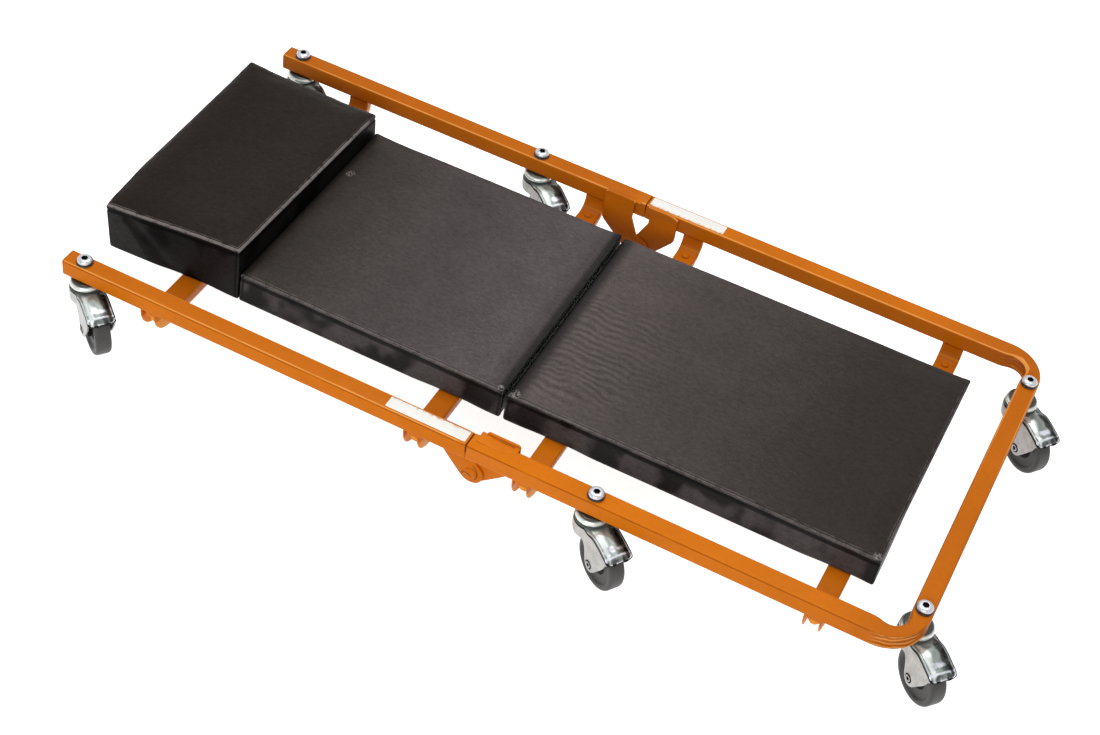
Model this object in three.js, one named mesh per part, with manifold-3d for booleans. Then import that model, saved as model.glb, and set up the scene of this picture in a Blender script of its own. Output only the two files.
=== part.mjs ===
// Folding mechanic's creeper on six swivel castors.
// Lengths are millimetres. Inside this file x runs from the head end to the foot end with
// zero at the fold line, y runs to the lying user's left with zero on the middle line, and
// z is the height above the floor.

import * as THREE from 'three';
import { mergeVertices } from 'three/addons/utils/BufferGeometryUtils.js';
import Module from 'manifold-3d';

const wasm = await Module();
wasm.setup();

// Shared clearances
const seatGap = 0.3;
const overrun = 4;

// Frame of square tube, in two halves that butt at the fold line
const headLength = 467;
const footLength = 463;
const frameWidth = 440;
const tubeSize = 20;
const tubeWall = 1.5;
const tubeCorner = 3;
const tubeInnerCorner = 1.5;
const endBendRadius = 32;
const bendSink = 2;
const bendPinch = 1.5;
const railTop = 94;
const capThickness = 1.5;
const capPlug = 9;

// Pressed crossbars that carry the boards between the rails
const innerBarOffset = 60;
const headBarInset = 102;
const footBarInset = 98;
const barWidth = 26;
const barDepth = 18;
const barPinch = 4;
const barSheet = 2;
const barCorner = 3;
const barBend = 12;
const barRivetRadius = 4.5;
const barRivetHeight = 2;
const barRivetInset = 14;
const screwHeadRadius = 4.5;
const screwHeadHeight = 2.5;
const screwSpacing = 170;

// Pads and the boards that they are built on
const padWidth = 277;
const padDepth = 33.3;
const padDrop = 1.2;
const padCrown = 3;
const headPadRise = 25;
const headPadOverhang = 5.5;
const headPadLength = 164.5;
const middlePadStop = 6;
const footPadStart = 1.2;
const footPadEndGap = 63.8;
const padCorner = 6;
const padEdge = 4.5;
const padTuck = 4.2;
const padInnerCorner = 1.5;
const padDrawIn = 2;
const boardThickness = 9;
const boardInset = 9;

// Fold hinges: a plate flat on one rail, and a spaced plate with a top tab on the other
const pivotDrop = 60;
const hingeSheet = 2.4;
const lobeRadius = 13.5;
const lobeEntryTurn = -Math.PI / 4;
const lobeExitTurn = Math.PI * 0.72;
const flatPlateDrop = 4;
const flatPlateStart = 7;
const flatPlateEnd = 40;
const flatPlateCorner = 34;
const spacedPlateRise = 4;
const spacedPlateStart = 12;
const spacedPlateEnd = 47;
const spacedPlateCorner = 35;
const tabStart = 6;
const tabReach = 19.5;
const tabNarrowFrom = 33;
const tabNarrowReach = 7;
const tabSheet = 1.5;
const windowTop = 22;
const windowLean = 3.4;
const pivotRadius = 4;
const pivotHeadRadius = 6.5;
const pivotHeadHeight = 2.6;

// Castors
const headCastorInset = 21.6;
const midCastorOffset = 134.5;
const footCastorInset = 39.6;
const castorTrail = 28;
const wheelRadius = 30;
const wheelTread = 17;
const wheelEdge = 4;
const wheelRecess = 2.5;
const wheelRimWall = 6;
const wheelHubRadius = 9;
const axleRadius = 4;
const axleHeadRadius = 5.5;
const axleHeadHeight = 1.4;
const forkSheet = 2;
const forkWidth = 29;
const forkCrownRadius = 17.5;
const forkRound = 4;
const forkTop = 65;
const hoodReach = 57;
const hoodTipTop = 58.5;
const hoodTipLip = 3;
const hoodFlat = 24;
const forkNoseDepth = 7;
const forkWaistDepth = 15.7;
const forkLobe = 8.5;
const leadEdge = -Math.PI * 0.94;
const trailEdge = -Math.PI / 9;
const cupRadius = 17;
const cupSheet = 1.8;
const cupRound = 2;
const kingpinRadius = 7;
const kingpinFlange = 10;
const kingpinFlangeHeight = 2;
const boltRadius = 5;
const boltHeadRadius = 8.8;
const boltHeadHeight = 4.6;
const boltHeadRim = 1.2;
const boltSocketFlats = 6;
const boltSocketDepth = 2.8;
const washerRadius = 8.4;
const washerThickness = 1.8;
const washerSplit = 1.2;

// Blank stickers on the rails beside the fold
const labelLength = 86;
const labelWidth = 14;
const labelThickness = 0.25;
const labelGap = 0.05;

// Numbers of faces
const cornerSteps = 3;
const bendSteps = 7;
const barBendSteps = 5;
const wheelSides = 20;
const turnedSides = 16;
const smallSides = 12;
const socketSides = 6;
const curveSteps = 6;

// Places worked out from the sizes above
const railCentreY = frameWidth / 2 - tubeSize / 2;
const railInnerY = frameWidth / 2 - tubeSize;
const railBottom = railTop - tubeSize;
const padTop = railTop - padDrop;
const padBottom = padTop - padDepth;
const barTop = padBottom - seatGap;
const pivotZ = railTop - pivotDrop;
const endTubeX = footLength - tubeSize / 2;
const footCastorY = frameWidth / 2 - tubeSize / 2 - footCastorInset;
const boltHole = boltRadius + seatGap;
const axleHole = axleRadius + seatGap;

const orangePaint = { color: 0xc86a1b, roughness: 0.38, metalness: 0.0 };
const blackVinyl = { color: 0x2b2726, roughness: 0.55, metalness: 0.0 };
const chromePlate = { color: 0xc9cacb, roughness: 0.16, metalness: 1.0 };
const zincSteel = { color: 0xb4b6b8, roughness: 0.32, metalness: 1.0 };
const greyWheel = { color: 0x3c3b3b, roughness: 0.6, metalness: 0.0 };
const plyBoard = { color: 0xb58b5c, roughness: 0.8, metalness: 0.0 };
const whiteSticker = { color: 0xf2efe9, roughness: 0.45, metalness: 0.0 };

function makeMesh(name, geometry, finish) {
  const shown = geometry.index ? geometry.toNonIndexed() : geometry;
  shown.deleteAttribute('normal');
  shown.deleteAttribute('uv');
  shown.computeVertexNormals();
  const mesh = new THREE.Mesh(shown, new THREE.MeshStandardMaterial(finish));
  mesh.name = name;
  return mesh;
}

// A closed geometry as a solid for cutting and joining
function toSolid(geometry) {
  const bare = geometry.clone();
  bare.deleteAttribute('normal');
  bare.deleteAttribute('uv');
  const merged = mergeVertices(bare);
  const vertProperties = Float32Array.from(merged.attributes.position.array);
  const triVerts = Uint32Array.from(merged.index.array);
  return new wasm.Manifold(new wasm.Mesh({ numProp: 3, vertProperties, triVerts }));
}

function toGeometry(solid) {
  const mesh = solid.getMesh();
  const geometry = new THREE.BufferGeometry();
  geometry.setAttribute('position', new THREE.BufferAttribute(mesh.vertProperties, 3));
  geometry.setIndex(new THREE.BufferAttribute(mesh.triVerts, 1));
  return geometry;
}

function cut(geometry, ...cutters) {
  let solid = toSolid(geometry);
  for (const cutter of cutters) {
    solid = solid.subtract(toSolid(cutter));
  }
  return toGeometry(solid);
}

function join(geometry, ...additions) {
  let solid = toSolid(geometry);
  for (const addition of additions) {
    solid = solid.add(toSolid(addition));
  }
  return toGeometry(solid);
}

function common(geometry, other) {
  return toGeometry(toSolid(geometry).intersect(toSolid(other)));
}

function signedVolume(positions, index) {
  const corner = [new THREE.Vector3(), new THREE.Vector3(), new THREE.Vector3()];
  let volume = 0;
  for (let i = 0; i < index.length; i += 3) {
    for (let k = 0; k < 3; k++) {
      corner[k].fromArray(positions, index[i + k] * 3);
    }
    volume += corner[0].dot(corner[1].cross(corner[2])) / 6;
  }
  return volume;
}

// Triangles over a flat ring of points, wound like the ring
function ringFaces(ring) {
  const normal = new THREE.Vector3();
  for (let i = 0; i < ring.length; i++) {
    normal.add(ring[i].clone().cross(ring[(i + 1) % ring.length]));
  }
  normal.normalize();
  const across = ring[1].clone().sub(ring[0]).normalize();
  const up = normal.clone().cross(across);
  const flat = ring.map((point) => new THREE.Vector2(point.dot(across), point.dot(up)));
  return THREE.ShapeUtils.triangulateShape(flat, []).map(([a, b, c]) => {
    const turn = flat[b].clone().sub(flat[a]).cross(flat[c].clone().sub(flat[a]));
    return turn > 0 ? [a, b, c] : [a, c, b];
  });
}

// A closed skin through rings that all have the same number of points
function loft(rings) {
  const count = rings[0].length;
  const positions = rings.flat().flatMap((point) => point.toArray());
  const index = [];
  for (let r = 0; r + 1 < rings.length; r++) {
    for (let i = 0; i < count; i++) {
      const a = r * count + i;
      const b = r * count + (i + 1) % count;
      index.push(a, b, b + count, a, b + count, a + count);
    }
  }
  const last = (rings.length - 1) * count;
  ringFaces(rings[0]).forEach(([a, b, c]) => index.push(a, c, b));
  ringFaces(rings[rings.length - 1]).forEach(([a, b, c]) => index.push(last + a, last + b, last + c));
  if (signedVolume(positions, index) < 0) {
    index.reverse();
  }
  const geometry = new THREE.BufferGeometry();
  geometry.setAttribute('position', new THREE.Float32BufferAttribute(positions, 3));
  geometry.setIndex(index);
  return geometry;
}

function box(x0, x1, y0, y1, z0, z1) {
  const geometry = new THREE.BoxGeometry(x1 - x0, y1 - y0, z1 - z0);
  return geometry.translate((x0 + x1) / 2, (y0 + y1) / 2, (z0 + z1) / 2);
}

function uprightCylinder(radius, bottom, top, sides) {
  const geometry = new THREE.CylinderGeometry(radius, radius, top - bottom, sides);
  return geometry.rotateX(Math.PI / 2).translate(0, 0, (bottom + top) / 2);
}

function crossCylinder(radius, y0, y1, sides) {
  return new THREE.CylinderGeometry(radius, radius, y1 - y0, sides).translate(0, (y0 + y1) / 2, 0);
}

// A turned piece whose axis stands upright, from radius and height pairs
function turned(profile, sides) {
  const points = profile.map(([radius, height]) => new THREE.Vector2(radius, height));
  return new THREE.LatheGeometry(points, sides).rotateX(Math.PI / 2);
}

// A flat plate whose outline lies in x and z, between y0 and y0 + thickness
function plate(shape, y0, thickness) {
  const geometry = new THREE.ExtrudeGeometry(shape, {
    depth: thickness,
    bevelEnabled: false,
    curveSegments: curveSteps,
  });
  return geometry.rotateX(Math.PI / 2).translate(0, y0 + thickness, 0);
}

function roundedRectangle(width, height, radius, steps) {
  const points = [];
  const corners = [[1, 1], [-1, 1], [-1, -1], [1, -1]];
  corners.forEach(([sideX, sideY], quarter) => {
    for (let i = 0; i <= steps; i++) {
      const angle = (quarter + i / steps) * Math.PI / 2;
      const x = sideX * (width / 2 - radius) + radius * Math.cos(angle);
      const y = sideY * (height / 2 - radius) + radius * Math.sin(angle);
      points.push(new THREE.Vector2(x, y));
    }
  });
  return points;
}

// Side rails of the head half: straight hollow tubes with a bolt hole for each castor
function straightTube(x0, x1, size, corner, steps) {
  const section = roundedRectangle(size, size, corner, steps);
  const ringAt = (x) => section.map((point) => new THREE.Vector3(x, point.x, point.y));
  return loft([ringAt(x0), ringAt(x1)]);
}

function boltHoleAt(x, y) {
  return uprightCylinder(boltHole, railBottom - overrun, railTop + overrun, smallSides).translate(x, y, 0);
}

function headRail(side, castorPlaces) {
  const start = -headLength + capThickness + seatGap;
  const stop = -seatGap / 2;
  const centre = railTop - tubeSize / 2;
  const bore = tubeSize - 2 * tubeWall;
  const outside = straightTube(start, stop, tubeSize, tubeCorner, cornerSteps);
  const inside = straightTube(start - overrun, stop + overrun, bore, tubeInnerCorner, 1);
  outside.translate(0, side * railCentreY, centre);
  inside.translate(0, side * railCentreY, centre);
  return cut(outside, inside, ...castorPlaces.map((x) => boltHoleAt(x, side * railCentreY)));
}

function railCap(side) {
  const inner = tubeSize - 2 * tubeWall - 2 * seatGap;
  const coverEnd = -headLength + capThickness;
  const cover = straightTube(-headLength, coverEnd, tubeSize, tubeCorner, cornerSteps);
  const plug = straightTube(coverEnd - capThickness / 2, coverEnd + capPlug, inner, tubeInnerCorner, 1);
  return join(cover, plug).translate(0, side * railCentreY, railTop - tubeSize / 2);
}

// Foot half: one tube bent twice. In each bend the outer wall sinks and the inner wall is
// pinched, as square tube does.
function bentTube(section, startX) {
  const bendX = endTubeX - endBendRadius;
  const bendY = railCentreY - endBendRadius;
  const stations = [[startX, -railCentreY, 0, 0]];
  for (const side of [-1, 1]) {
    for (let i = 0; i <= bendSteps; i++) {
      const share = i / bendSteps;
      const turn = (side < 0 ? share - 1 : share) * Math.PI / 2;
      const x = bendX + endBendRadius * Math.cos(turn);
      const y = side * bendY + endBendRadius * Math.sin(turn);
      stations.push([x, y, turn + Math.PI / 2, Math.sin(Math.PI * share)]);
    }
  }
  stations.push([startX, railCentreY, Math.PI, 0]);
  return loft(stations.map(([x, y, heading, strain]) => section(strain).map((point) => {
    const outward = point.x;
    return new THREE.Vector3(
      x + outward * Math.sin(heading),
      y - outward * Math.cos(heading),
      railTop - tubeSize / 2 + point.y,
    );
  })));
}

function strainedSection(size, corner, steps, strain) {
  const points = roundedRectangle(size, size, corner, steps);
  const outerMiddle = new THREE.Vector2(size / 2 - bendSink * strain, 0);
  const innerMiddle = new THREE.Vector2(-size / 2 + bendPinch * strain, 0);
  const half = points.length / 2;
  return [outerMiddle, ...points.slice(0, half), innerMiddle, ...points.slice(half)];
}

function footFrame(castorPlaces) {
  const bore = tubeSize - 2 * tubeWall;
  const outside = bentTube((strain) => strainedSection(tubeSize, tubeCorner, cornerSteps, strain), seatGap / 2);
  const inside = bentTube((strain) => strainedSection(bore, tubeInnerCorner, 1, strain), seatGap / 2 - overrun);
  return cut(outside, inside, ...castorPlaces.map(([x, y]) => boltHoleAt(x, y)));
}

// Crossbar: a channel open downwards whose ends turn up to the undersides of the rails
function channelSection(pinch) {
  const half = barWidth / 2;
  const inner = half - barSheet;
  const points = [[-half, barDepth], [-half, barCorner]];
  points.push([-half + barCorner * (1 - Math.SQRT1_2), barCorner * (1 - Math.SQRT1_2)]);
  points.push([-half + barCorner, 0], [half - barCorner, 0]);
  points.push([half - barCorner * (1 - Math.SQRT1_2), barCorner * (1 - Math.SQRT1_2)]);
  points.push([half, barCorner], [half, barDepth], [inner, barDepth]);
  points.push([inner, barSheet], [-inner, barSheet], [-inner, barDepth]);
  return points.map(([across, depth]) => [across - Math.sign(across) * pinch * depth / barDepth, depth]);
}

function crossbar(x) {
  const stations = [];
  const bendZ = barTop + barBend;
  const bendY = railInnerY - barBend;
  stations.push([-railInnerY, railBottom - seatGap, 1, 0]);
  for (let i = 0; i <= barBendSteps; i++) {
    const turn = (i / barBendSteps) * Math.PI / 2;
    const inward = Math.cos(turn);
    const upward = Math.sin(turn);
    stations.push([-bendY - barBend * inward, bendZ - barBend * upward, inward, upward]);
  }
  const mirrored = stations.map(([y, z, inward, upward]) => [-y, z, -inward, upward]).reverse();
  const channel = loft([...stations, ...mirrored].map(([y, z, inward, upward]) => channelSection(
    barPinch * Math.abs(inward),
  ).map(
    ([across, depth]) => new THREE.Vector3(x + across, y - depth * inward, z - depth * upward),
  )));
  const additions = [];
  for (const side of [-1, 1]) {
    const rivetY = side * (railInnerY - barRivetInset);
    const rivet = turned([
      [0, barTop - barSheet / 2], [barRivetRadius, barTop - barSheet / 2], [barRivetRadius, barTop],
      [barRivetRadius * Math.SQRT1_2, barTop + barRivetHeight * Math.SQRT1_2], [0, barTop + barRivetHeight],
    ], smallSides);
    additions.push(rivet.translate(x, rivetY, 0));
    const headTop = barTop - barSheet / 2;
    const headBottom = barTop - barSheet - screwHeadHeight;
    const head = uprightCylinder(screwHeadRadius, headBottom, headTop, smallSides);
    additions.push(head.translate(x, side * screwSpacing / 2, 0));
  }
  return join(channel, ...additions);
}

// Pad: a crowned cushion with rounded edges, sides drawn in between its corners and a tucked
// underside, built over its board
function padOutline(length, width, inset) {
  const halfX = length / 2 - inset;
  const halfY = width / 2 - inset;
  const radius = Math.max(padCorner - inset, padInnerCorner);
  const points = [];
  const edgeShares = [0.25, 0.5, 0.75];
  const corners = [[1, 1], [-1, 1], [-1, -1], [1, -1]];
  corners.forEach(([sideX, sideY], quarter) => {
    for (let i = 0; i <= 2; i++) {
      const angle = (quarter + i / 2) * Math.PI / 2;
      points.push([
        sideX * (halfX - radius) + radius * Math.cos(angle),
        sideY * (halfY - radius) + radius * Math.sin(angle),
      ]);
    }
    const [fromX, fromY] = points[points.length - 1];
    const [nextX, nextY] = corners[(quarter + 1) % corners.length];
    const angle = (quarter + 1) * Math.PI / 2;
    const toX = nextX * (halfX - radius) + radius * Math.cos(angle);
    const toY = nextY * (halfY - radius) + radius * Math.sin(angle);
    for (const share of edgeShares) {
      const draw = padDrawIn * Math.sin(Math.PI * share);
      points.push([
        fromX + (toX - fromX) * share - draw * Math.cos(angle),
        fromY + (toY - fromY) * share - draw * Math.sin(angle),
      ]);
    }
  });
  return points;
}

function pad(x0, x1, bottom, top) {
  const length = x1 - x0;
  const depth = top - bottom;
  const sideShares = [[1, 0], [0.33, 0.1], [0, 0.33], [0, 0.6]];
  const edgeShares = [[0.17, 0.5], [0.5, 0.17], [1, 0]];
  const layers = [
    ...sideShares.map(([tuck, rise]) => [padTuck * tuck, depth * rise]),
    ...edgeShares.map(([inset, drop]) => [padEdge * inset, depth - padEdge * drop]),
  ];
  const rings = layers.map(([inset, rise]) => padOutline(length, padWidth, inset).map(
    ([x, y]) => new THREE.Vector3((x0 + x1) / 2 + x, y, bottom + rise),
  ));
  const crownShares = [0.18, 0.42, 0.72];
  for (const share of crownShares) {
    const rise = padCrown * Math.sin(share * Math.PI / 2);
    rings.push(rings[layers.length - 1].map((point) => new THREE.Vector3(
      point.x + ((x0 + x1) / 2 - point.x) * share,
      point.y * (1 - share),
      top + rise,
    )));
  }
  return loft(rings);
}

function board(x0, x1) {
  const half = padWidth / 2 - boardInset;
  return box(x0, x1, -half, half, padBottom, padBottom + boardThickness);
}

function boardRecess(x0, x1) {
  const half = padWidth / 2 - boardInset + seatGap;
  return box(x0 - seatGap, x1 + seatGap, -half, half, padBottom - overrun, padBottom + boardThickness + seatGap);
}

// Hinge plates are drawn for the half where x is positive, with the pivot on the fold line
function closeAroundPivot(shape, sheetEdgeX, sheetEdgeRise, windowX, windowStartX) {
  const waistShares = [0.54, 0.125];
  const windowFootShare = 1.2;
  shape.quadraticCurveTo(
    sheetEdgeX * waistShares[0], pivotZ + sheetEdgeRise * waistShares[1],
    lobeRadius * Math.cos(lobeEntryTurn), pivotZ + lobeRadius * Math.sin(lobeEntryTurn),
  );
  shape.absarc(0, pivotZ, lobeRadius, lobeEntryTurn, lobeExitTurn, true);
  shape.lineTo(windowX, pivotZ + lobeRadius * windowFootShare);
  shape.lineTo(windowStartX, railTop - windowTop);
}

function hingeHole(y) {
  return crossCylinder(pivotRadius + seatGap, y - overrun, y + hingeSheet + overrun, smallSides).translate(0, 0, pivotZ);
}

function flatHingePlate() {
  const top = railTop - flatPlateDrop;
  const shape = new THREE.Shape();
  shape.moveTo(flatPlateStart, top);
  shape.lineTo(flatPlateEnd, top);
  shape.lineTo(flatPlateEnd, railTop - flatPlateCorner);
  closeAroundPivot(shape, flatPlateEnd, pivotDrop - flatPlateCorner, -windowLean, flatPlateStart);
  const y = -railInnerY + seatGap;
  return cut(plate(shape, y, hingeSheet), hingeHole(y));
}

function spacedHingePlate() {
  const top = railTop + spacedPlateRise;
  const shape = new THREE.Shape();
  shape.moveTo(spacedPlateStart, top);
  shape.lineTo(spacedPlateEnd, top);
  shape.lineTo(spacedPlateEnd, railTop - spacedPlateCorner);
  closeAroundPivot(shape, spacedPlateEnd, pivotDrop - spacedPlateCorner, windowLean, spacedPlateStart);
  const y = -railInnerY + hingeSheet + 2 * seatGap;
  const upright = cut(plate(shape, y, hingeSheet), hingeHole(y));
  const tabBottom = railTop + seatGap;
  const ringAt = (x, reach) => [
    [-railInnerY - reach, tabBottom], [y + hingeSheet / 2, tabBottom],
    [y + hingeSheet / 2, tabBottom + tabSheet], [-railInnerY - reach, tabBottom + tabSheet],
  ].map(([across, z]) => new THREE.Vector3(x, across, z));
  const tab = loft([
    ringAt(tabStart, tabReach), ringAt(tabNarrowFrom, tabReach), ringAt(spacedPlateEnd, tabNarrowReach),
  ]);
  return join(upright, tab);
}

function pivotPin() {
  const start = -railInnerY + seatGap;
  const stop = start + 2 * hingeSheet + seatGap;
  const body = (stop - start) / 2 + seatGap;
  const headShares = [[1, 0], [1, 0.33], [0.7, 0.8], [0, 1]];
  const half = headShares.map(([across, rise]) => [pivotHeadRadius * across, body + pivotHeadHeight * rise]);
  half.unshift([pivotRadius, body]);
  const mirrored = half.map(([radius, height]) => [radius, -height]).reverse();
  return turned([...mirrored, ...half], turnedSides).rotateX(Math.PI / 2).translate(0, (start + stop) / 2, pivotZ);
}

// Hinge pieces on the left side are the right ones turned half a turn about the upright axis
function halfTurned(geometry) {
  return geometry.rotateZ(Math.PI);
}

function railLabel() {
  const bottom = railTop + labelGap;
  return box(-labelLength - seatGap, -seatGap, -railCentreY - labelWidth / 2, -railCentreY + labelWidth / 2,
    bottom, bottom + labelThickness);
}

// Castor pieces stand on the stem axis, with x towards the trailing wheel
const hoodCurve = new THREE.QuadraticBezierCurve(
  new THREE.Vector2(hoodFlat, forkTop),
  new THREE.Vector2((hoodFlat + hoodReach) / 2, forkTop),
  new THREE.Vector2(hoodReach, hoodTipTop),
);

function forkHalfWidth(x, inset) {
  const radius = forkCrownRadius - inset;
  const straight = forkWidth / 2 - inset;
  if (x <= 0) {
    return Math.sqrt(Math.max(radius * radius - x * x, 0));
  }
  return Math.max(Math.sqrt(Math.max(radius * radius - x * x, 0)), straight);
}

function forkTopAt(x) {
  if (x <= hoodFlat) {
    return forkTop;
  }
  const share = (x - hoodFlat) / (hoodReach - hoodFlat);
  return hoodCurve.getPoint(share).y;
}

function forkSkin(inset, floor) {
  const radius = forkCrownRadius - inset;
  const kneeX = Math.sqrt(radius * radius - (forkWidth / 2 - inset) ** 2);
  const noseShares = [0.97, 0.8, 0.45, 0];
  const hoodShares = [0, 0.3, 0.55, 0.8, 1];
  const tip = hoodReach - inset;
  const places = noseShares.map((share) => -radius * share);
  places.push(kneeX);
  hoodShares.forEach((share) => places.push(hoodFlat + (tip - hoodFlat) * share));
  return loft(places.map((x) => {
    const half = forkHalfWidth(x, inset);
    const top = forkTopAt(x) - inset;
    const round = Math.min(Math.max(forkRound - inset, forkSheet / 2), half / 2);
    const diagonal = round * (1 - Math.SQRT1_2);
    return [
      [-half, floor], [-half, top - round], [-half + diagonal, top - diagonal], [-half + round, top],
      [half - round, top], [half - diagonal, top - diagonal], [half, top - round], [half, floor],
    ].map(([y, z]) => new THREE.Vector3(x, y, z));
  }));
}

function forkSideOutline() {
  const shape = new THREE.Shape();
  const axleZ = wheelRadius;
  const lift = forkTop + overrun;
  const noseShares = [0.4, 0.3];
  const waistShares = [0.25, 0.6, 0.64];
  shape.moveTo(-forkCrownRadius - overrun, lift);
  shape.lineTo(-forkCrownRadius - overrun, forkTop - forkNoseDepth);
  shape.bezierCurveTo(
    -forkCrownRadius * noseShares[0], forkTop - forkNoseDepth,
    -forkCrownRadius * noseShares[1], forkTop - forkWaistDepth,
    castorTrail * waistShares[0], forkTop - forkWaistDepth,
  );
  shape.bezierCurveTo(
    castorTrail * waistShares[1], forkTop - forkWaistDepth,
    castorTrail * waistShares[2], axleZ + forkLobe,
    castorTrail + forkLobe * Math.cos(leadEdge), axleZ + forkLobe * Math.sin(leadEdge),
  );
  shape.absarc(castorTrail, axleZ, forkLobe, leadEdge, trailEdge, false);
  shape.lineTo(hoodReach, hoodTipTop - hoodTipLip);
  shape.lineTo(hoodReach + overrun, hoodTipTop - hoodTipLip);
  shape.lineTo(hoodReach + overrun, lift);
  shape.closePath();
  return shape;
}

function castorFork() {
  const floor = wheelRadius - forkLobe - overrun;
  const shell = cut(forkSkin(0, floor), forkSkin(forkSheet, floor - overrun));
  const side = plate(forkSideOutline(), -forkCrownRadius - overrun, 2 * (forkCrownRadius + overrun));
  const kingpinHole = uprightCylinder(kingpinRadius + seatGap, forkTop - forkSheet - overrun, forkTop + overrun, turnedSides);
  const axleBore = crossCylinder(axleHole, -forkWidth, forkWidth, smallSides).translate(castorTrail, 0, wheelRadius);
  return cut(common(shell, side), kingpinHole, axleBore);
}

function castorWheel() {
  const hubHalf = forkWidth / 2 - forkSheet - seatGap;
  const treadHalf = wheelTread / 2;
  const rimInner = wheelRadius - wheelRimWall;
  const bevel = wheelEdge * (1 - Math.SQRT1_2);
  const half = [
    [axleHole, hubHalf], [wheelHubRadius, hubHalf], [wheelHubRadius, treadHalf - wheelRecess],
    [rimInner, treadHalf - wheelRecess], [rimInner, treadHalf], [wheelRadius - wheelEdge, treadHalf],
    [wheelRadius - bevel, treadHalf - bevel], [wheelRadius, treadHalf - wheelEdge],
  ];
  const mirrored = half.map(([radius, y]) => [radius, -y]).reverse();
  const points = [...half, ...mirrored, half[0]].map(([radius, y]) => new THREE.Vector2(radius, y));
  const halfStep = Math.PI / wheelSides;
  const flatRadius = 1 / Math.cos(halfStep);
  return new THREE.LatheGeometry(points.reverse(), wheelSides).rotateY(halfStep).scale(flatRadius, 1, flatRadius);
}

function castorAxle() {
  const body = forkWidth / 2 + seatGap;
  const end = body + axleHeadHeight;
  const half = [
    [0, end], [axleHeadRadius - axleHeadHeight, end],
    [axleHeadRadius, end - axleHeadHeight / 2], [axleHeadRadius, body], [axleRadius, body],
  ];
  const mirrored = half.map(([radius, y]) => [radius, -y]).reverse();
  const points = [...half, ...mirrored].reverse().map(([radius, y]) => new THREE.Vector2(radius, y));
  return new THREE.LatheGeometry(points, smallSides);
}

function swivelCup() {
  const top = railBottom - seatGap;
  const rim = forkTop + seatGap;
  const under = forkTop - forkSheet - seatGap;
  const bore = boltRadius + seatGap;
  const profile = [
    [bore, under - kingpinFlangeHeight], [kingpinFlange, under - kingpinFlangeHeight], [kingpinFlange, under],
    [kingpinRadius, under], [kingpinRadius, top - cupSheet], [cupRadius - cupSheet, top - cupSheet],
    [cupRadius - cupSheet, rim], [cupRadius, rim], [cupRadius, top - cupRound], [cupRadius - cupRound, top],
    [bore, top], [bore, under - kingpinFlangeHeight],
  ];
  return turned(profile, turnedSides);
}

function castorBolt() {
  const seat = railTop + washerThickness + 2 * seatGap;
  const headTop = seat + boltHeadHeight;
  const tip = forkTop - forkSheet - seatGap - kingpinFlangeHeight;
  const domeShares = [[0.86, 0.72], [0.55, 1]];
  const profile = [
    [0, tip], [boltRadius, tip], [boltRadius, seat], [boltHeadRadius, seat], [boltHeadRadius, seat + boltHeadRim],
    ...domeShares.map(([across, rise]) => [boltHeadRadius * across, seat + boltHeadHeight * rise]),
    [0, headTop],
  ];
  const socketRadius = boltSocketFlats / Math.sqrt(3);
  const socket = uprightCylinder(socketRadius, headTop - boltSocketDepth, headTop + overrun, socketSides);
  return cut(turned(profile, turnedSides), socket);
}

function springWasher() {
  const bottom = railTop + seatGap;
  const ring = turned([
    [boltHole, bottom], [washerRadius, bottom], [washerRadius, bottom + washerThickness],
    [boltHole, bottom + washerThickness], [boltHole, bottom],
  ], turnedSides);
  const split = box(0, washerRadius + overrun, -washerSplit / 2, washerSplit / 2, bottom - overrun, railTop + overrun);
  return cut(ring, split);
}

// Castors, each with its stem place and the way that its wheel trails at rest
const castors = [
  { name: 'head_right', x: headCastorInset - headLength, y: -railCentreY, trails: -38 },
  { name: 'head_left', x: headCastorInset - headLength, y: railCentreY, trails: -38 },
  { name: 'middle_left', x: -midCastorOffset, y: railCentreY, trails: -38 },
  { name: 'middle_right', x: midCastorOffset, y: -railCentreY, trails: -34 },
  { name: 'foot_right', x: endTubeX, y: -footCastorY, trails: -41 },
  { name: 'foot_left', x: endTubeX, y: footCastorY, trails: -38 },
];

const creeper = new THREE.Group();
const headSection = new THREE.Group();
const footSection = new THREE.Group();
creeper.add(headSection, footSection);

const [headRight, headLeft, middleLeft, middleRight, footRight, footLeft] = castors;
headSection.add(
  makeMesh('right_head_rail', headRail(-1, [headRight.x]), orangePaint),
  makeMesh('left_head_rail', headRail(1, [headLeft.x, middleLeft.x]), orangePaint),
  makeMesh('right_rail_cap', railCap(-1), orangePaint),
  makeMesh('left_rail_cap', railCap(1), orangePaint),
  makeMesh('head_crossbar', crossbar(headBarInset - headLength), orangePaint),
  makeMesh('head_fold_crossbar', crossbar(-innerBarOffset), orangePaint),
);
footSection.add(
  makeMesh('foot_frame_tube', footFrame([middleRight, footRight, footLeft].map(({ x, y }) => [x, y])), orangePaint),
  makeMesh('foot_fold_crossbar', crossbar(innerBarOffset), orangePaint),
  makeMesh('foot_crossbar', crossbar(footLength - footBarInset), orangePaint),
);

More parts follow.
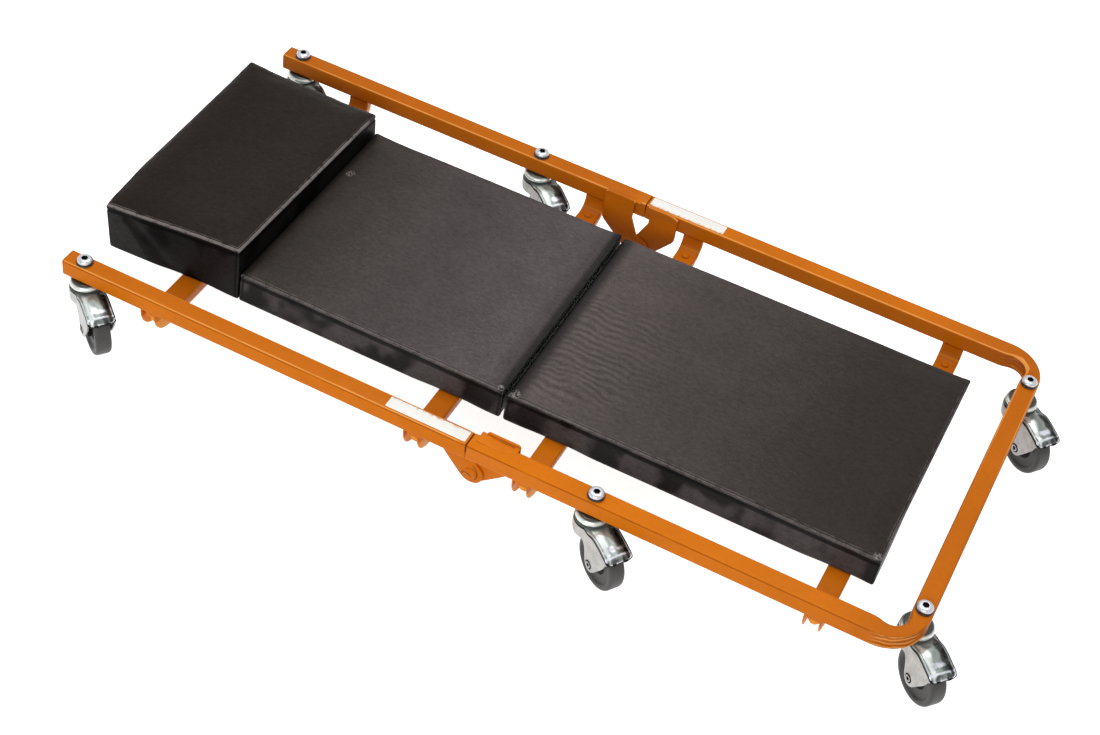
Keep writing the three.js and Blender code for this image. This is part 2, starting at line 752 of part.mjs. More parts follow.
const headPadStart = -headLength - headPadOverhang;
const headPadStop = headPadStart + headPadLength;
const middlePadStart = headPadStop + seatGap;
const footPadStop = footLength - footPadEndGap;
const headBoardEnds = [headPadStart + boardInset, -middlePadStop - boardInset];
const footBoardEnds = [footPadStart + boardInset, footPadStop - boardInset];
const headPad = cut(pad(headPadStart, headPadStop, padBottom, padTop + headPadRise), boardRecess(...headBoardEnds));
const middlePad = cut(pad(middlePadStart, -middlePadStop, padBottom, padTop), boardRecess(...headBoardEnds));
const footPad = cut(pad(footPadStart, footPadStop, padBottom, padTop), boardRecess(...footBoardEnds));
headSection.add(
  makeMesh('head_pad', headPad, blackVinyl),
  makeMesh('middle_pad', middlePad, blackVinyl),
  makeMesh('head_board', board(...headBoardEnds), plyBoard),
);
footSection.add(
  makeMesh('foot_pad', footPad, blackVinyl),
  makeMesh('foot_board', board(...footBoardEnds), plyBoard),
);

const mirrorToHead = (geometry) => toGeometry(toSolid(geometry.clone()).mirror([1, 0, 0]));
headSection.add(
  makeMesh('right_head_hinge_plate', mirrorToHead(flatHingePlate()), orangePaint),
  makeMesh('left_head_hinge_plate', halfTurned(spacedHingePlate()), orangePaint),
  makeMesh('right_pivot_pin', pivotPin(), orangePaint),
  makeMesh('left_pivot_pin', halfTurned(pivotPin()), orangePaint),
  makeMesh('right_rail_label', railLabel(), whiteSticker),
);
footSection.add(
  makeMesh('right_foot_hinge_plate', spacedHingePlate(), orangePaint),
  makeMesh('left_foot_hinge_plate', halfTurned(mirrorToHead(flatHingePlate())), orangePaint),
  makeMesh('left_rail_label', halfTurned(railLabel()), whiteSticker),
);

for (const { name, x, y, trails } of castors) {
  const section = x < 0 ? headSection : footSection;
  const stem = new THREE.Group();
  stem.position.set(x, y, 0);
  stem.add(
    makeMesh(`${name}_castor_bolt`, castorBolt(), zincSteel),
    makeMesh(`${name}_spring_washer`, springWasher(), zincSteel),
    makeMesh(`${name}_swivel_cup`, swivelCup(), chromePlate),
  );
  const swivel = new THREE.Group();
  swivel.rotation.z = THREE.MathUtils.degToRad(trails);
  swivel.add(makeMesh(`${name}_castor_fork`, castorFork(), chromePlate));
  const wheelPlace = new THREE.Group();
  wheelPlace.position.set(castorTrail, 0, wheelRadius);
  wheelPlace.add(
    makeMesh(`${name}_castor_wheel`, castorWheel(), greyWheel),
    makeMesh(`${name}_castor_axle`, castorAxle(), zincSteel),
  );
  swivel.add(wheelPlace);
  stem.add(swivel);
  section.add(stem);
}

// The origin is at floor level under the middle of the whole creeper
creeper.updateMatrixWorld(true);
const extent = new THREE.Box3().setFromObject(creeper);
const middle = extent.getCenter(new THREE.Vector3());
creeper.position.set(-middle.x, -middle.y, -extent.min.z);
creeper.updateMatrixWorld(true);

export default creeper;
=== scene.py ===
import math

import bmesh
import bpy
from mathutils import Matrix, Vector, kdtree, noise


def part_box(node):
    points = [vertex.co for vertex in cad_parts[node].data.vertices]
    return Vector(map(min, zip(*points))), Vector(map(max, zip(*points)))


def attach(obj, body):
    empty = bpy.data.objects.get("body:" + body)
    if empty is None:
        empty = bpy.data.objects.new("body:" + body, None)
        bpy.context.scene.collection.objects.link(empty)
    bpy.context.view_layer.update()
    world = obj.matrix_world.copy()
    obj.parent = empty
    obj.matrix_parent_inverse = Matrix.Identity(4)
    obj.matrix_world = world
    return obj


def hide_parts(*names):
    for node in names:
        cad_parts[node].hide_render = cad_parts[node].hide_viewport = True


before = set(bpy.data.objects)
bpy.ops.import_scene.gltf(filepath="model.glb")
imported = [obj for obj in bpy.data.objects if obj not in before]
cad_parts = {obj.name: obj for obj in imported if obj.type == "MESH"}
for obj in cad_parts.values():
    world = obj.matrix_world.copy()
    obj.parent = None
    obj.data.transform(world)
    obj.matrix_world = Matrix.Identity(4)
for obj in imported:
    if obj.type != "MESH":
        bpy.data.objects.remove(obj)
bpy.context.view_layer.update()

# Sizes in millimetres, counted from the fold line, the middle line and the floor
MM = 0.001
FOOT_TUBE_LOW, FOOT_TUBE_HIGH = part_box("foot_frame_tube")
JOINT_GAP = 0.15
FOLD_X = FOOT_TUBE_LOW[0] - JOINT_GAP * MM
MIDDLE_Y = (FOOT_TUBE_LOW[1] + FOOT_TUBE_HIGH[1]) / 2

HEAD_LENGTH = 467
FOOT_LENGTH = 463
RAIL_Y = 210
RAIL_TOP = 94
TUBE = 20
TUBE_CORNER = 2.6
TUBE_WALL = 1.5
BEND_RADIUS = 32
BORE = TUBE - 2 * TUBE_WALL
RAIL_INNER = RAIL_Y - TUBE / 2
RAIL_BOTTOM = RAIL_TOP - TUBE
RAIL_Z = RAIL_TOP - TUBE / 2
PIVOT_Z = RAIL_TOP - 60
FOLD_BAR_X = 60
OUTER_BAR_X = 365

PAD_HALF = 138.5
PAD_BOTTOM = 59.5
PAD_TOP = 92.8
HEAD_PAD_RISE = 25
HEAD_PAD_TOP = PAD_TOP + HEAD_PAD_RISE
SEAT_GAP = 0.3
BAR_TOP = PAD_BOTTOM - SEAT_GAP

WHEEL_RADIUS = 30
TRAIL = 28
FORK_TOP = 65
FORK_HALF = 14.5
CROWN_RADIUS = 17.5

HEAD = "head_section"
FOOT = "foot_section"
SIDES = ((-1, "right"), (1, "left"))

# Each castor's section, its stem's place and the direction in degrees that its wheel trails in
HEAD_STEM_X = 21.6 - HEAD_LENGTH
MIDDLE_STEM_X = 134.5
FOOT_STEM_X = FOOT_LENGTH - TUBE / 2
FOOT_STEM_Y = 170.4
CASTORS = {
    "head_right": (HEAD, HEAD_STEM_X, -RAIL_Y, -38),
    "head_left": (HEAD, HEAD_STEM_X, RAIL_Y, -38),
    "middle_left": (HEAD, -MIDDLE_STEM_X, RAIL_Y, -38),
    "middle_right": (FOOT, MIDDLE_STEM_X, -RAIL_Y, -34),
    "foot_right": (FOOT, FOOT_STEM_X, -FOOT_STEM_Y, -41),
    "foot_left": (FOOT, FOOT_STEM_X, FOOT_STEM_Y, -38),
}


def spot(x, y, z):
    """A point given in millimetres, as a point of the frame in metres."""
    return Vector((FOLD_X + x * MM, MIDDLE_Y + y * MM, z * MM))


def added(name, data):
    """A new object of the scene."""
    thing = bpy.data.objects.new(name, data)
    bpy.context.scene.collection.objects.link(thing)
    return thing


# Materials
class Wire:
    """One output of a shader node, with the arithmetic that the finishes use."""

    def __init__(self, nodes, socket):
        self.nodes = nodes
        self.socket = socket

    def maths(self, operation, *values):
        return self.nodes.node("ShaderNodeMath", {"operation": operation}, dict(enumerate(values)))

    def __add__(self, other):
        return self.maths("ADD", self, other)

    __radd__ = __add__

    def __mul__(self, other):
        return self.maths("MULTIPLY", self, other)

    __rmul__ = __mul__

    def __sub__(self, other):
        return self.maths("SUBTRACT", self, other)

    def __rsub__(self, other):
        return self.maths("SUBTRACT", other, self)

    def size(self):
        return self.maths("ABSOLUTE", self)

    def least(self, other):
        return self.maths("MINIMUM", self, other)

    def most(self, other):
        return self.maths("MAXIMUM", self, other)

    def sine(self):
        return self.maths("SINE", self)

    def root(self):
        return self.maths("SQRT", self)

    def above(self, low, high):
        """0 below low, 1 above high and a smooth step between."""
        return self.nodes.node("ShaderNodeMapRange", {"interpolation_type": "SMOOTHSTEP"}, {
            "Value": self, "From Min": low, "From Max": high})

    def band(self, low, high, soft):
        """1 between low and high, falling to 0 over soft on each side."""
        return self.above(low - soft, low) * (1 - self.above(high, high + soft))


class Nodes:
    """The shader nodes of a material or of the world."""

    def __init__(self, tree):
        self.tree = tree

    def node(self, kind, settings=None, inputs=None, output=0):
        made = self.tree.nodes.new(kind)
        for name, value in (settings or {}).items():
            setattr(made, name, value)
        for name, value in (inputs or {}).items():
            if isinstance(value, Wire):
                self.tree.links.new(value.socket, made.inputs[name])
            else:
                made.inputs[name].default_value = value
        return Wire(self, made.outputs[output])

    def show(self, output_node, for_light, for_eyes):
        """Shows for_eyes to the rays of the camera, a mirror or glass, and for_light to the rest."""
        path = self.node("ShaderNodeLightPath").socket.node
        rays = ("Is Camera Ray", "Is Glossy Ray", "Is Transmission Ray")
        direct, glossy, through = (Wire(self, path.outputs[ray]) for ray in rays)
        seen = direct.most(glossy).most(through)
        chosen = self.node("ShaderNodeMixShader", {}, {0: seen, 1: for_light, 2: for_eyes})
        self.tree.links.new(chosen.socket, self.tree.nodes[output_node].inputs["Surface"])


class Finish(Nodes):
    """A material with one Principled shader and the nodes that vary it."""

    def __init__(self, name, **constants):
        self.material = bpy.data.materials.new(name)
        self.material.use_nodes = True
        super().__init__(self.material.node_tree)
        self.shader = self.tree.nodes["Principled BSDF"]
        for socket, value in constants.items():
            self.shader.inputs[socket.replace("_", " ")].default_value = value

    def parts(self, vector):
        split = self.node("ShaderNodeSeparateXYZ", {}, {"Vector": vector})
        return [Wire(self, socket) for socket in split.socket.node.outputs]

    def place(self, scale=(1, 1, 1), turn=(0, 0, 0)):
        where = self.node("ShaderNodeTexCoord", output="Object")
        return self.node("ShaderNodeMapping", {}, {"Vector": where, "Scale": scale, "Rotation": turn})

    def axes(self):
        """x, y and z in millimetres from the fold line, the middle line and the floor."""
        x, y, z = (part * (1 / MM) for part in self.parts(self.place()))
        return x - FOLD_X / MM, y - MIDDLE_Y / MM, z

    def facing(self):
        """The three parts of the surface's own direction."""
        return self.parts(self.node("ShaderNodeTexCoord", output="Normal"))

    def cloud(self, size, detail=3, where=None, roughness=0.5, distortion=0.0):
        """Noise whose blotches are about size millimetres wide."""
        return self.node("ShaderNodeTexNoise", {}, {
            "Vector": where or self.place(), "Scale": 1 / (size * MM), "Detail": detail,
            "Roughness": roughness, "Distortion": distortion})

    def blend(self, amount, first, second):
        first, second = (value if isinstance(value, Wire) else (*value, 1) for value in (first, second))
        return self.node("ShaderNodeMix", {"data_type": "RGBA"}, {0: amount, 6: first, 7: second}, 2)

    def layered(self, body, layers):
        """Lays tones over body one after another, each by its own amount."""
        for amount, tone in layers:
            body = self.blend(amount, body, tone)
        return body

    def tones(self, place, stops):
        """Colour along place, blended through stops of position and colour."""
        (before, colour), *others = stops
        for position, next_colour in others:
            colour = self.blend(place.above(before, position), colour, next_colour)
            before = position
        return colour

    def dimmed(self, colour, amount):
        return self.node("ShaderNodeVectorMath", {"operation": "SCALE"}, {0: colour, "Scale": amount})

    def colour(self, wire):
        self.tree.links.new(wire.socket, self.shader.inputs["Base Color"])

    def rough(self, wire):
        self.tree.links.new(wire.socket, self.shader.inputs["Roughness"])

    def relief(self, height, depth, strength=1.0, after=None):
        """Bump of depth millimetres; after is an earlier relief."""
        inputs = {"Height": height, "Distance": depth * MM, "Strength": strength}
        if after:
            inputs["Normal"] = after
        made = self.node("ShaderNodeBump", {}, inputs)
        self.tree.links.new(made.socket, self.shader.inputs["Normal"])
        return made


def away_from(first, second):
    """Distance from the place where both first and second are nought."""
    return (first * first + second * second).root()


def orange_paint():
    """Powder coat with painted light and shade: a painted shade line along the near rail's top edge and a
    painted highlight along the far rail's.
    """
    paint = Finish("orange_powder_coat", Specular_IOR_Level=0.08)
    x, y, z = paint.axes()
    _, along, up = paint.facing()
    broad = paint.cloud(90, 2).above(0.35, 0.65)
    mottled = paint.cloud(6, 4).above(0.3, 0.75)

    # Painted shade: darker towards the foot end, on the far rail, on faces turned inwards, under the tubes
    # and on the head half's tops
    inward = y.above(150, 180) * (1 - along.above(-0.75, -0.35))
    head_top = (1 - x.above(-25, -5)) * up.above(0.5, 0.8) * 0.28
    under = (1 - z.above(61, 72)) * up.above(0.3, 0.7) * (1 - y.size().above(194, 199)) * 0.05
    painted_shade = x.above(300, 455) * 0.36 + y.above(150, 190) * 0.18 + under + inward * 0.22 + head_top

    # Top edges of the tubes, with a painted highlight line and a painted shade line beside it, broken up by
    # noise, and the line where the halves meet
    near_top = z.above(RAIL_TOP - 3.4, RAIL_TOP - 2.8)
    edge_light_breaks = paint.cloud(28, 3).above(0.28, 0.52) * 0.5 + 0.5
    far = y.above(0, 100)
    # lit is the painted highlight; sunk is the painted shade line beside it
    lit = up.band(0.66, 0.90, 0.08) * near_top * edge_light_breaks * (far + 1 - x.above(-12, -2)).least(1)
    sunk = up.band(0.26, 0.56, 0.12) * near_top * edge_light_breaks * (1 - far * 0.7)
    on_rail = y.size().above(RAIL_INNER - 0.1, RAIL_INNER + 0.5)
    joint = x.band(-0.8, 0.8, 0.4) * on_rail * z.above(RAIL_TOP - 14, RAIL_TOP - 8)

    # Painted highlights and shade of the wrinkles where the tube is bent
    upright = 1 - up.size().above(0.35, 0.65)
    bend = x.above(414, 430) * y.size().above(164, 180) * upright * (1 - y.above(0, 50) * 0.6)
    wave = ((z + paint.cloud(22, 2) * 10) * (math.tau / 5.4)).sine()

    # Painted shade in arcs beside the near pivot, along a plate's lobe edge and the rivet's recess
    long_shade_arc = away_from(x + 8.5, z - 33.7).band(15.1, 16.1, 0.6) * x.above(-1, 1) * z.band(28, 44, 3)
    short_shade_arc = away_from(x + 3.8, z - 27.7).band(5.0, 6.2, 0.7) * z.above(27, 29) * (1 - x.above(0.5, 2.5))
    marks = (long_shade_arc + short_shade_arc).least(1) * (1 - y.above(-190, -186)) * (1 - z.above(50, 52))

    # Painted light on the bars' flanges below the rails, and small chips all over
    from_bar = (x.size() - FOLD_BAR_X).size().least((x.size() - OUTER_BAR_X).size())
    flange = (1 - from_bar.above(13, 14.5)) * (1 - z.above(60, 64)) * y.size().above(194, 197)
    chips = paint.cloud(1.6, 2).above(0.64, 0.74) * paint.cloud(40, 2).above(0.5, 0.66)

    plain = paint.blend(broad, (0.68, 0.175, 0.0025), (0.75, 0.196, 0.0038))
    paint.colour(paint.layered(plain, (
        (mottled * 0.22, (0.58, 0.135, 0.0020)),
        (painted_shade.least(0.9), (0.36, 0.080, 0.0035)),
        (lit * 0.75, (0.95, 0.40, 0.09)),
        (sunk * 0.62, (0.22, 0.042, 0.002)),
        (joint * 0.8, (0.16, 0.030, 0.002)),
        (bend * wave.above(0.45, 0.95) * 0.6, (0.95, 0.46, 0.12)),
        (bend * (wave * -1).above(0.45, 0.95) * 0.7, (0.26, 0.050, 0.003)),
        (marks * 0.7, (0.17, 0.038, 0.004)),
        (flange * 0.75, (1.0, 0.41, 0.035)),
        (chips * 0.30, (0.80, 0.34, 0.07)),
    )))
    paint.rough(mottled * 0.12 + 0.34)
    peel = paint.relief(paint.cloud(1.1, 2), 0.04, 0.5)
    paint.relief(paint.cloud(14, 2), 0.22, 0.5, peel)
    return paint.material


def over_edge(vinyl, pad, x, y, z):
    """Distance over a pad's top edge: positive on the top, negative down the side."""
    start, stop = pad["ends"]
    level, rise, lean, twist = pad["tilt"]
    u = (x - (start + stop) / 2) * (2 / (stop - start))
    v = y * (1 / PAD_HALF)
    raised = u * rise + v * lean + u * v * twist + level
    near_edge = y + (PAD_HALF - SIDE_INSET) + (1 - u.above(-1, 0.8)) * pad["spread"]
    inset = near_edge.least((PAD_HALF - SIDE_INSET + FAR_SIDE) - y)
    if pad["beads"][0]:
        inset = inset.least(x - (start + pad["insets"][0]))
    if pad["beads"][1]:
        inset = inset.least((stop - pad["insets"][1]) - x)
    return inset + z - raised - (pad["top"] - TOP_INSET) + (vinyl.cloud(12, 2) - 0.5) * 1.2


def black_vinyl(name, pad):
    """Grained vinyl of one pad: painted light and shade along x, and painted highlights and shade along the
    top edges.
    """
    vinyl = Finish(f"black_vinyl_{name}", Specular_IOR_Level=pad["sheen"])
    x, y, z = vinyl.axes()
    across, along, up = vinyl.facing()
    start, stop = pad["ends"]
    lying = up.above(0.35, 0.75)
    cloudy = vinyl.cloud(34, 3).above(0.3, 0.75)
    streaks = vinyl.cloud(3.4, 3, vinyl.place((0.55, 1, 1)), 0.6, 0.6)
    fine = vinyl.cloud(1.5, 2)
    flecks = vinyl.cloud(2.4, 4, None, 0.7).above(0.58, 0.72)
    # Painted reflections in broad patches on the sides; on the head pad also painted light on the head side
    # of a slanting fold
    side_light_patches = vinyl.cloud(44, 2, vinyl.place((1, 1, 0.8), (0, math.radians(-28), 0))).above(0.44, 0.56)
    if name == "head_pad":
        slant = x + 460 - (HEAD_PAD_TOP - z) * 0.75 + (vinyl.cloud(16, 2) - 0.5) * 14
        side_light_patches = side_light_patches * 0.35 + (1 - slant.above(-3, 3)) * 0.9
    # Side faces take a darker colour than the tops: painted shade
    side = vinyl.blend(side_light_patches.least(1), (0.0040, 0.0028, 0.0026), (0.040, 0.0355, 0.0355))
    body = vinyl.blend(lying, vinyl.dimmed(side, pad["sides"]), vinyl.tones(x, pad["tones"]))
    body = vinyl.dimmed(body, cloudy * 0.16 + 0.90 + (streaks - 0.5) * 1.0 + (fine - 0.5) * 0.6)
    body = vinyl.dimmed(body, flecks * lying * 0.55 + 1)

    # End faces: painted shade, black in the fold and dark beside the headrest's foot, and painted light at
    # the foot end
    at_end = across.size().above(0.5, 0.8)
    body = vinyl.dimmed(body, 1 - at_end * (1 - x.size().above(8, 20)) * 0.9)
    body = vinyl.dimmed(body, 1 - at_end * x.band(-325, -290, 5) * 0.55)
    body = vinyl.blend(at_end * x.above(380, 392) * (1 - y.above(-120, 0) * 0.8), body, (0.024, 0.022, 0.022))

    # Top edges: painted shade in the grooves on each side of the rolled bead, a painted highlight along the
    # bead and one along the fine sewn ridge inside it
    over = over_edge(vinyl, pad, x, y, z)
    edge_highlight = vinyl.cloud(9, 4).above(0.30, 0.62)
    speckle = vinyl.cloud(2.1, 3).above(0.34, 0.64)
    edge_light_share = 1 - y.above(122, 132) * 0.75
    if pad["beads"][0]:
        edge_light_share = edge_light_share * (x.above(start + 4, start + 10) * 0.75 + 0.25)
    if 0 < pad["beads"][1] < 1:
        edge_light_share = edge_light_share * (1 - x.above(stop - 10, stop - 4) * 0.85)
    body = vinyl.dimmed(body, 1 - over.band(-8.0, -3.4, 1.6) * 0.85)
    body = vinyl.dimmed(body, 1 - over.band(2.6, 3.2, 0.6) * edge_light_share * 0.55)
    # rolled is the painted highlight along the bead
    rolled = over.band(-1.5, 1.9, 1.0) * edge_light_share * (speckle * 0.42 + edge_highlight * 0.34 + 0.10)
    body = vinyl.blend(rolled * pad["edge_highlight"], body, (0.19, 0.172, 0.165))
    ridge_highlight = over.band(3.9, 4.6, 0.6) * edge_light_share * edge_highlight * 0.55
    body = vinyl.blend(ridge_highlight, body, (0.16, 0.145, 0.140))

    # Upright seams at the corners, scuffed places, and small painted highlights such as the glint in the
    # middle pad's dimple
    corner = (x - start).least(stop - x)
    sewn = (1 - lying) * along.size().above(0.5, 0.8)
    body = vinyl.dimmed(body, 1 - corner.band(2.8, 4.8, 0.5) * sewn * 0.92)
    body = vinyl.blend(corner.band(1.4, 2.2, 0.4) * sewn * 0.08, body, (0.12, 0.110, 0.108))
    for spot_x, spot_y, spread, strength in pad["scuffs"]:
        near = 1 - away_from(x - spot_x, y - spot_y).above(spread * 0.3, spread * 0.8)
        scuff_and_glint = near * vinyl.cloud(2.4, 4).above(0.44, 0.58) * over.above(-1.5, 0)
        body = vinyl.blend(scuff_and_glint * strength, body, (0.46, 0.44, 0.42))
    vinyl.rough(cloudy * 0.08 + 0.40)

    # Grain, soft folds and, on the foot pad, ripples beside the fold, whose light and shade are also painted
    # into the colour
    grain = vinyl.relief(streaks + fine * 0.5, 0.35, 0.8)
    folds = vinyl.relief(vinyl.cloud(20, 3), 0.8, 0.4, grain)
    if pad["ripples"]:
        wander = vinyl.cloud(46, 2) * 26 + vinyl.cloud(15, 2) * 5
        wave = ((y + wander) * (math.tau / 8.6)).sine()
        reach = (1 - x.above(60, 150)) * x.above(6, 22) * y.band(-108, 24, 24)
        reach = reach * vinyl.cloud(30, 2).above(0.28, 0.50) * lying
        body = vinyl.dimmed(body, wave * reach * 0.24 + 1)
        vinyl.relief(wave * reach, 0.22, 0.8, folds)
    vinyl.colour(body)
    return vinyl.material


def bright_chrome():
    """Plated hood of the trailing forks with painted reflections set by the surface's direction: a painted
    highlight on the near edge, grey roof, dark far slope, a painted highlight on the tip and painted shade at
    its end.
    """
    chrome = Finish("bright_chrome", Metallic=0.3, Specular_IOR_Level=0.10)
    across, along, _ = chrome.facing()
    trail_x = 0.788
    trail_y = 0.616
    lean = across * trail_y + along * trail_x + (chrome.cloud(14, 2) - 0.5) * 0.34
    ahead = across * trail_x - along * trail_y
    body = chrome.tones(lean, (
        (-0.55, (0.26, 0.29, 0.28)), (-0.38, (0.80, 0.86, 0.83)), (-0.22, (0.62, 0.68, 0.65)),
        (-0.08, (0.22, 0.25, 0.24)), (0.02, (0.30, 0.34, 0.32)), (0.12, (0.045, 0.054, 0.050)),
        (0.24, (0.004, 0.006, 0.005))))
    tip = ahead + (chrome.cloud(6, 2) - 0.5) * 0.3
    tip_highlight = tip.band(0.38, 0.60, 0.10) * (1 - lean.above(0.05, 0.20) * 0.9)
    body = chrome.blend(tip_highlight * 0.85, body, (0.84, 0.85, 0.94))
    body = chrome.blend(tip.above(0.72, 0.84) * 0.85, body, (0.045, 0.042, 0.050))
    smear = chrome.cloud(9, 3, distortion=0.6).above(0.42, 0.66)
    body = chrome.blend(smear * 0.18, body, (0.24, 0.24, 0.23))
    chrome.colour(body)
    chrome.rough(smear * 0.08 + 0.17)
    chrome.relief(chrome.cloud(9, 2), 0.16, 0.4)
    return chrome.material


def polished_cup():
    cup = Finish("polished_cup", Metallic=0.5, Specular_IOR_Level=0.5)
    across, along, _ = cup.facing()
    z = cup.axes()[2]
    smear = cup.cloud(6, 3, distortion=0.8).above(0.38, 0.64)
    body = cup.blend(smear * 0.5, (0.82, 0.87, 0.84), (0.52, 0.54, 0.42))
    # Painted shade on one side of the cup, and the rail's painted shadow across its top
    left = (across * -0.8 + along * 0.2).above(0.35, 0.85)
    body = cup.blend(left * 0.6, body, (0.16, 0.16, 0.14))
    body = cup.blend(z.above(RAIL_BOTTOM - 3.0, RAIL_BOTTOM - 1.2) * 0.95, body, (0.020, 0.020, 0.016))
    cup.colour(body)
    cup.rough(smear * 0.10 + 0.14)
    cup.relief(cup.cloud(7, 2), 0.3, 0.35)
    return cup.material


def satin_zinc():
    zinc = Finish("satin_zinc", Metallic=0.8)
    up = zinc.facing()[2]
    cloudy = zinc.cloud(3, 3).above(0.35, 0.7)
    body = zinc.blend(cloudy * 0.6, (0.60, 0.61, 0.65), (0.36, 0.37, 0.41))
    # Upright faces darker than the tops: painted shade
    zinc.colour(zinc.blend((1 - up.size().above(0.1, 0.5)) * 0.55, body, (0.30, 0.305, 0.31)))
    zinc.rough(cloudy * 0.14 + 0.22)
    zinc.relief(zinc.cloud(0.7, 2), 0.03, 0.4)
    return zinc.material


def dark_steel(name, clearest, tones, rough, depth, **constants):
    steel = Finish(name, **constants)
    cloudy = steel.cloud(3, 3).above(clearest, 0.7)
    steel.colour(steel.blend(cloudy, *tones))
    steel.rough(cloudy * 0.2 + rough)
    steel.relief(cloudy, depth, 0.4)
    return steel.material


def pressed_steel():
    steel = Finish("pressed_steel_side", Metallic=0.45, Specular_IOR_Level=0.4)
    cloudy = steel.cloud(9, 3).above(0.3, 0.75)
    streak = steel.cloud(2.2, 3, steel.place((1, 1, 0.12))).above(0.4, 0.7)
    steel.colour(steel.blend(cloudy, (0.50, 0.495, 0.48), (0.38, 0.378, 0.368)))
    steel.rough(streak * 0.10 + 0.36)
    steel.relief(steel.cloud(5, 2), 0.15, 0.3)
    return steel.material


def grey_nylon():
    nylon = Finish("dark_grey_nylon", Specular_IOR_Level=0.35)
    cloudy = nylon.cloud(14, 3).above(0.3, 0.7)
    scuffs = nylon.cloud(1.8, 3).above(0.60, 0.74)
    body = nylon.blend(cloudy, (0.044, 0.043, 0.042), (0.064, 0.062, 0.061))
    nylon.colour(nylon.blend(scuffs * 0.4, body, (0.11, 0.108, 0.105)))
    nylon.rough(cloudy * 0.10 + 0.42)
    nylon.relief(nylon.cloud(1.4, 3), 0.08, 0.5)
    return nylon.material


def raw_plywood():
    wood = Finish("raw_plywood", Roughness=0.8)
    grain = wood.cloud(4, 5, wood.place((0.05, 1, 1)), 0.6, 0.5).above(0.3, 0.7)
    wood.colour(wood.blend(grain, (0.42, 0.27, 0.14), (0.56, 0.39, 0.22)))
    wood.relief(grain, 0.15, 0.5)
    return wood.material


def white_sticker():
    label = Finish("white_sticker", Specular_IOR_Level=0.4)
    yellowed = label.cloud(30, 3).above(0.4, 0.8)
    scuffed = label.cloud(2.5, 4).above(0.62, 0.75)
    body = label.blend(yellowed * 0.5, (0.95, 0.94, 0.90), (0.90, 0.83, 0.72))
    body = label.blend(scuffed * 0.25, body, (0.85, 0.62, 0.38))
    edge = 1 - label.axes()[1].size().above(RAIL_Y - 7, RAIL_Y - 3.5)
    flaked = label.cloud(3.2, 5, None, 0.7).above(0.50, 0.56) * edge
    label.colour(label.blend(flaked * 0.8, body, (0.72, 0.25, 0.03)))
    label.rough(scuffed * 0.2 + 0.42)
    label.relief(label.cloud(6, 3), 0.08, 0.6)
    return label.material


PAINT = orange_paint()
CHROME = bright_chrome()
CUP = polished_cup()
ZINC = satin_zinc()
SPRING = dark_steel("oiled_spring_steel", 0.35, ((0.030, 0.030, 0.036), (0.070, 0.070, 0.080)), 0.35, 0.04,
                    Metallic=0.4, Specular_IOR_Level=0.3)
STEEL = pressed_steel()
# Painted shade: near-black metal put in creases, sockets and bearing gaps
CREASE_SHADE = dark_steel("crease_shade", 0.4, ((0.003, 0.003, 0.003), (0.014, 0.013, 0.012)), 0.5, 0.05,
                    Specular_IOR_Level=0.08)
NYLON = grey_nylon()
WOOD = raw_plywood()
WHITE = white_sticker()


# Mesh making
class Skin:
    """Points and faces of one piece, in millimetres until it is made."""

    def __init__(self):
        self.points = []
        self.faces = []
        self.marks = []

    def loft(self, rings, looped=True, capped=True, back_to_start=False, mark=0, dark=()):
        """Faces through rings of equal length; bands whose number is in dark get the second material."""
        first = len(self.points)
        count = len(rings[0])
        for ring in rings:
            self.points.extend(Vector(point) for point in ring)
        for number in range(len(rings) if back_to_start else len(rings) - 1):
            here = first + number * count
            there = first + (number + 1) % len(rings) * count
            for i in range(count if looped else count - 1):
                j = (i + 1) % count
                self.add((here + i, here + j, there + j, there + i), 1 if number in dark else mark)
        if capped and looped and not back_to_start:
            self.add(tuple(first + i for i in reversed(range(count))), mark)
            last = first + (len(rings) - 1) * count
            self.add(tuple(last + i for i in range(count)), 1 if len(rings) - 2 in dark else mark)
        return self

    def add(self, face, mark=0):
        self.faces.append(face)
        self.marks.append(mark)

    def turned(self, profile, steps, centre, axis, mark=0, closed=False, dark=()):
        """A turned form: radius and distance along the axis, from centre."""
        axis = Vector(axis).normalized()
        side = axis.orthogonal().normalized()
        other = axis.cross(side)
        rings = []
        for radius, along in profile:
            rings.append([
                Vector(centre) + axis * along
                + (side * math.cos(turn) + other * math.sin(turn)) * radius
                for turn in (i * math.tau / steps for i in range(steps))])
        return self.loft(rings, back_to_start=closed, mark=mark, dark=dark)

    def shifted(self, change):
        for i, point in enumerate(self.points):
            self.points[i] = change(point)
        return self


def make(name, skin, materials, body, stands_for, bevel=0.0, sharp=40, levels=0):
    """One piece of the scene from a skin in millimetres."""
    mesh = bpy.data.meshes.new(name)
    mesh.from_pydata([spot(*point) for point in skin.points], [], skin.faces)
    mesh.validate()
    for face, mark in zip(mesh.polygons, skin.marks):
        face.material_index = mark
    for material in materials:
        mesh.materials.append(material)
    work = bmesh.new()
    work.from_mesh(mesh)
    bmesh.ops.remove_doubles(work, verts=work.verts, dist=0.02 * MM)
    bmesh.ops.recalc_face_normals(work, faces=work.faces)
    if bevel:
        turning = [edge for edge in work.edges
                   if len(edge.link_faces) == 2 and edge.calc_face_angle(0) > math.radians(sharp)]
        bmesh.ops.bevel(work, geom=turning, offset=bevel * MM, segments=2,
                        profile=0.5, affect="EDGES", clamp_overlap=True)
    work.to_mesh(mesh)
    work.free()
    for face in mesh.polygons:
        face.use_smooth = True
    mesh.set_sharp_from_angle(angle=math.radians(sharp))
    piece = added(name, mesh)
    if levels:
        smoother = piece.modifiers.new("smoother", "SUBSURF")
        smoother.levels = smoother.render_levels = levels
    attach(piece, body)
    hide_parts(*stands_for)
    return piece


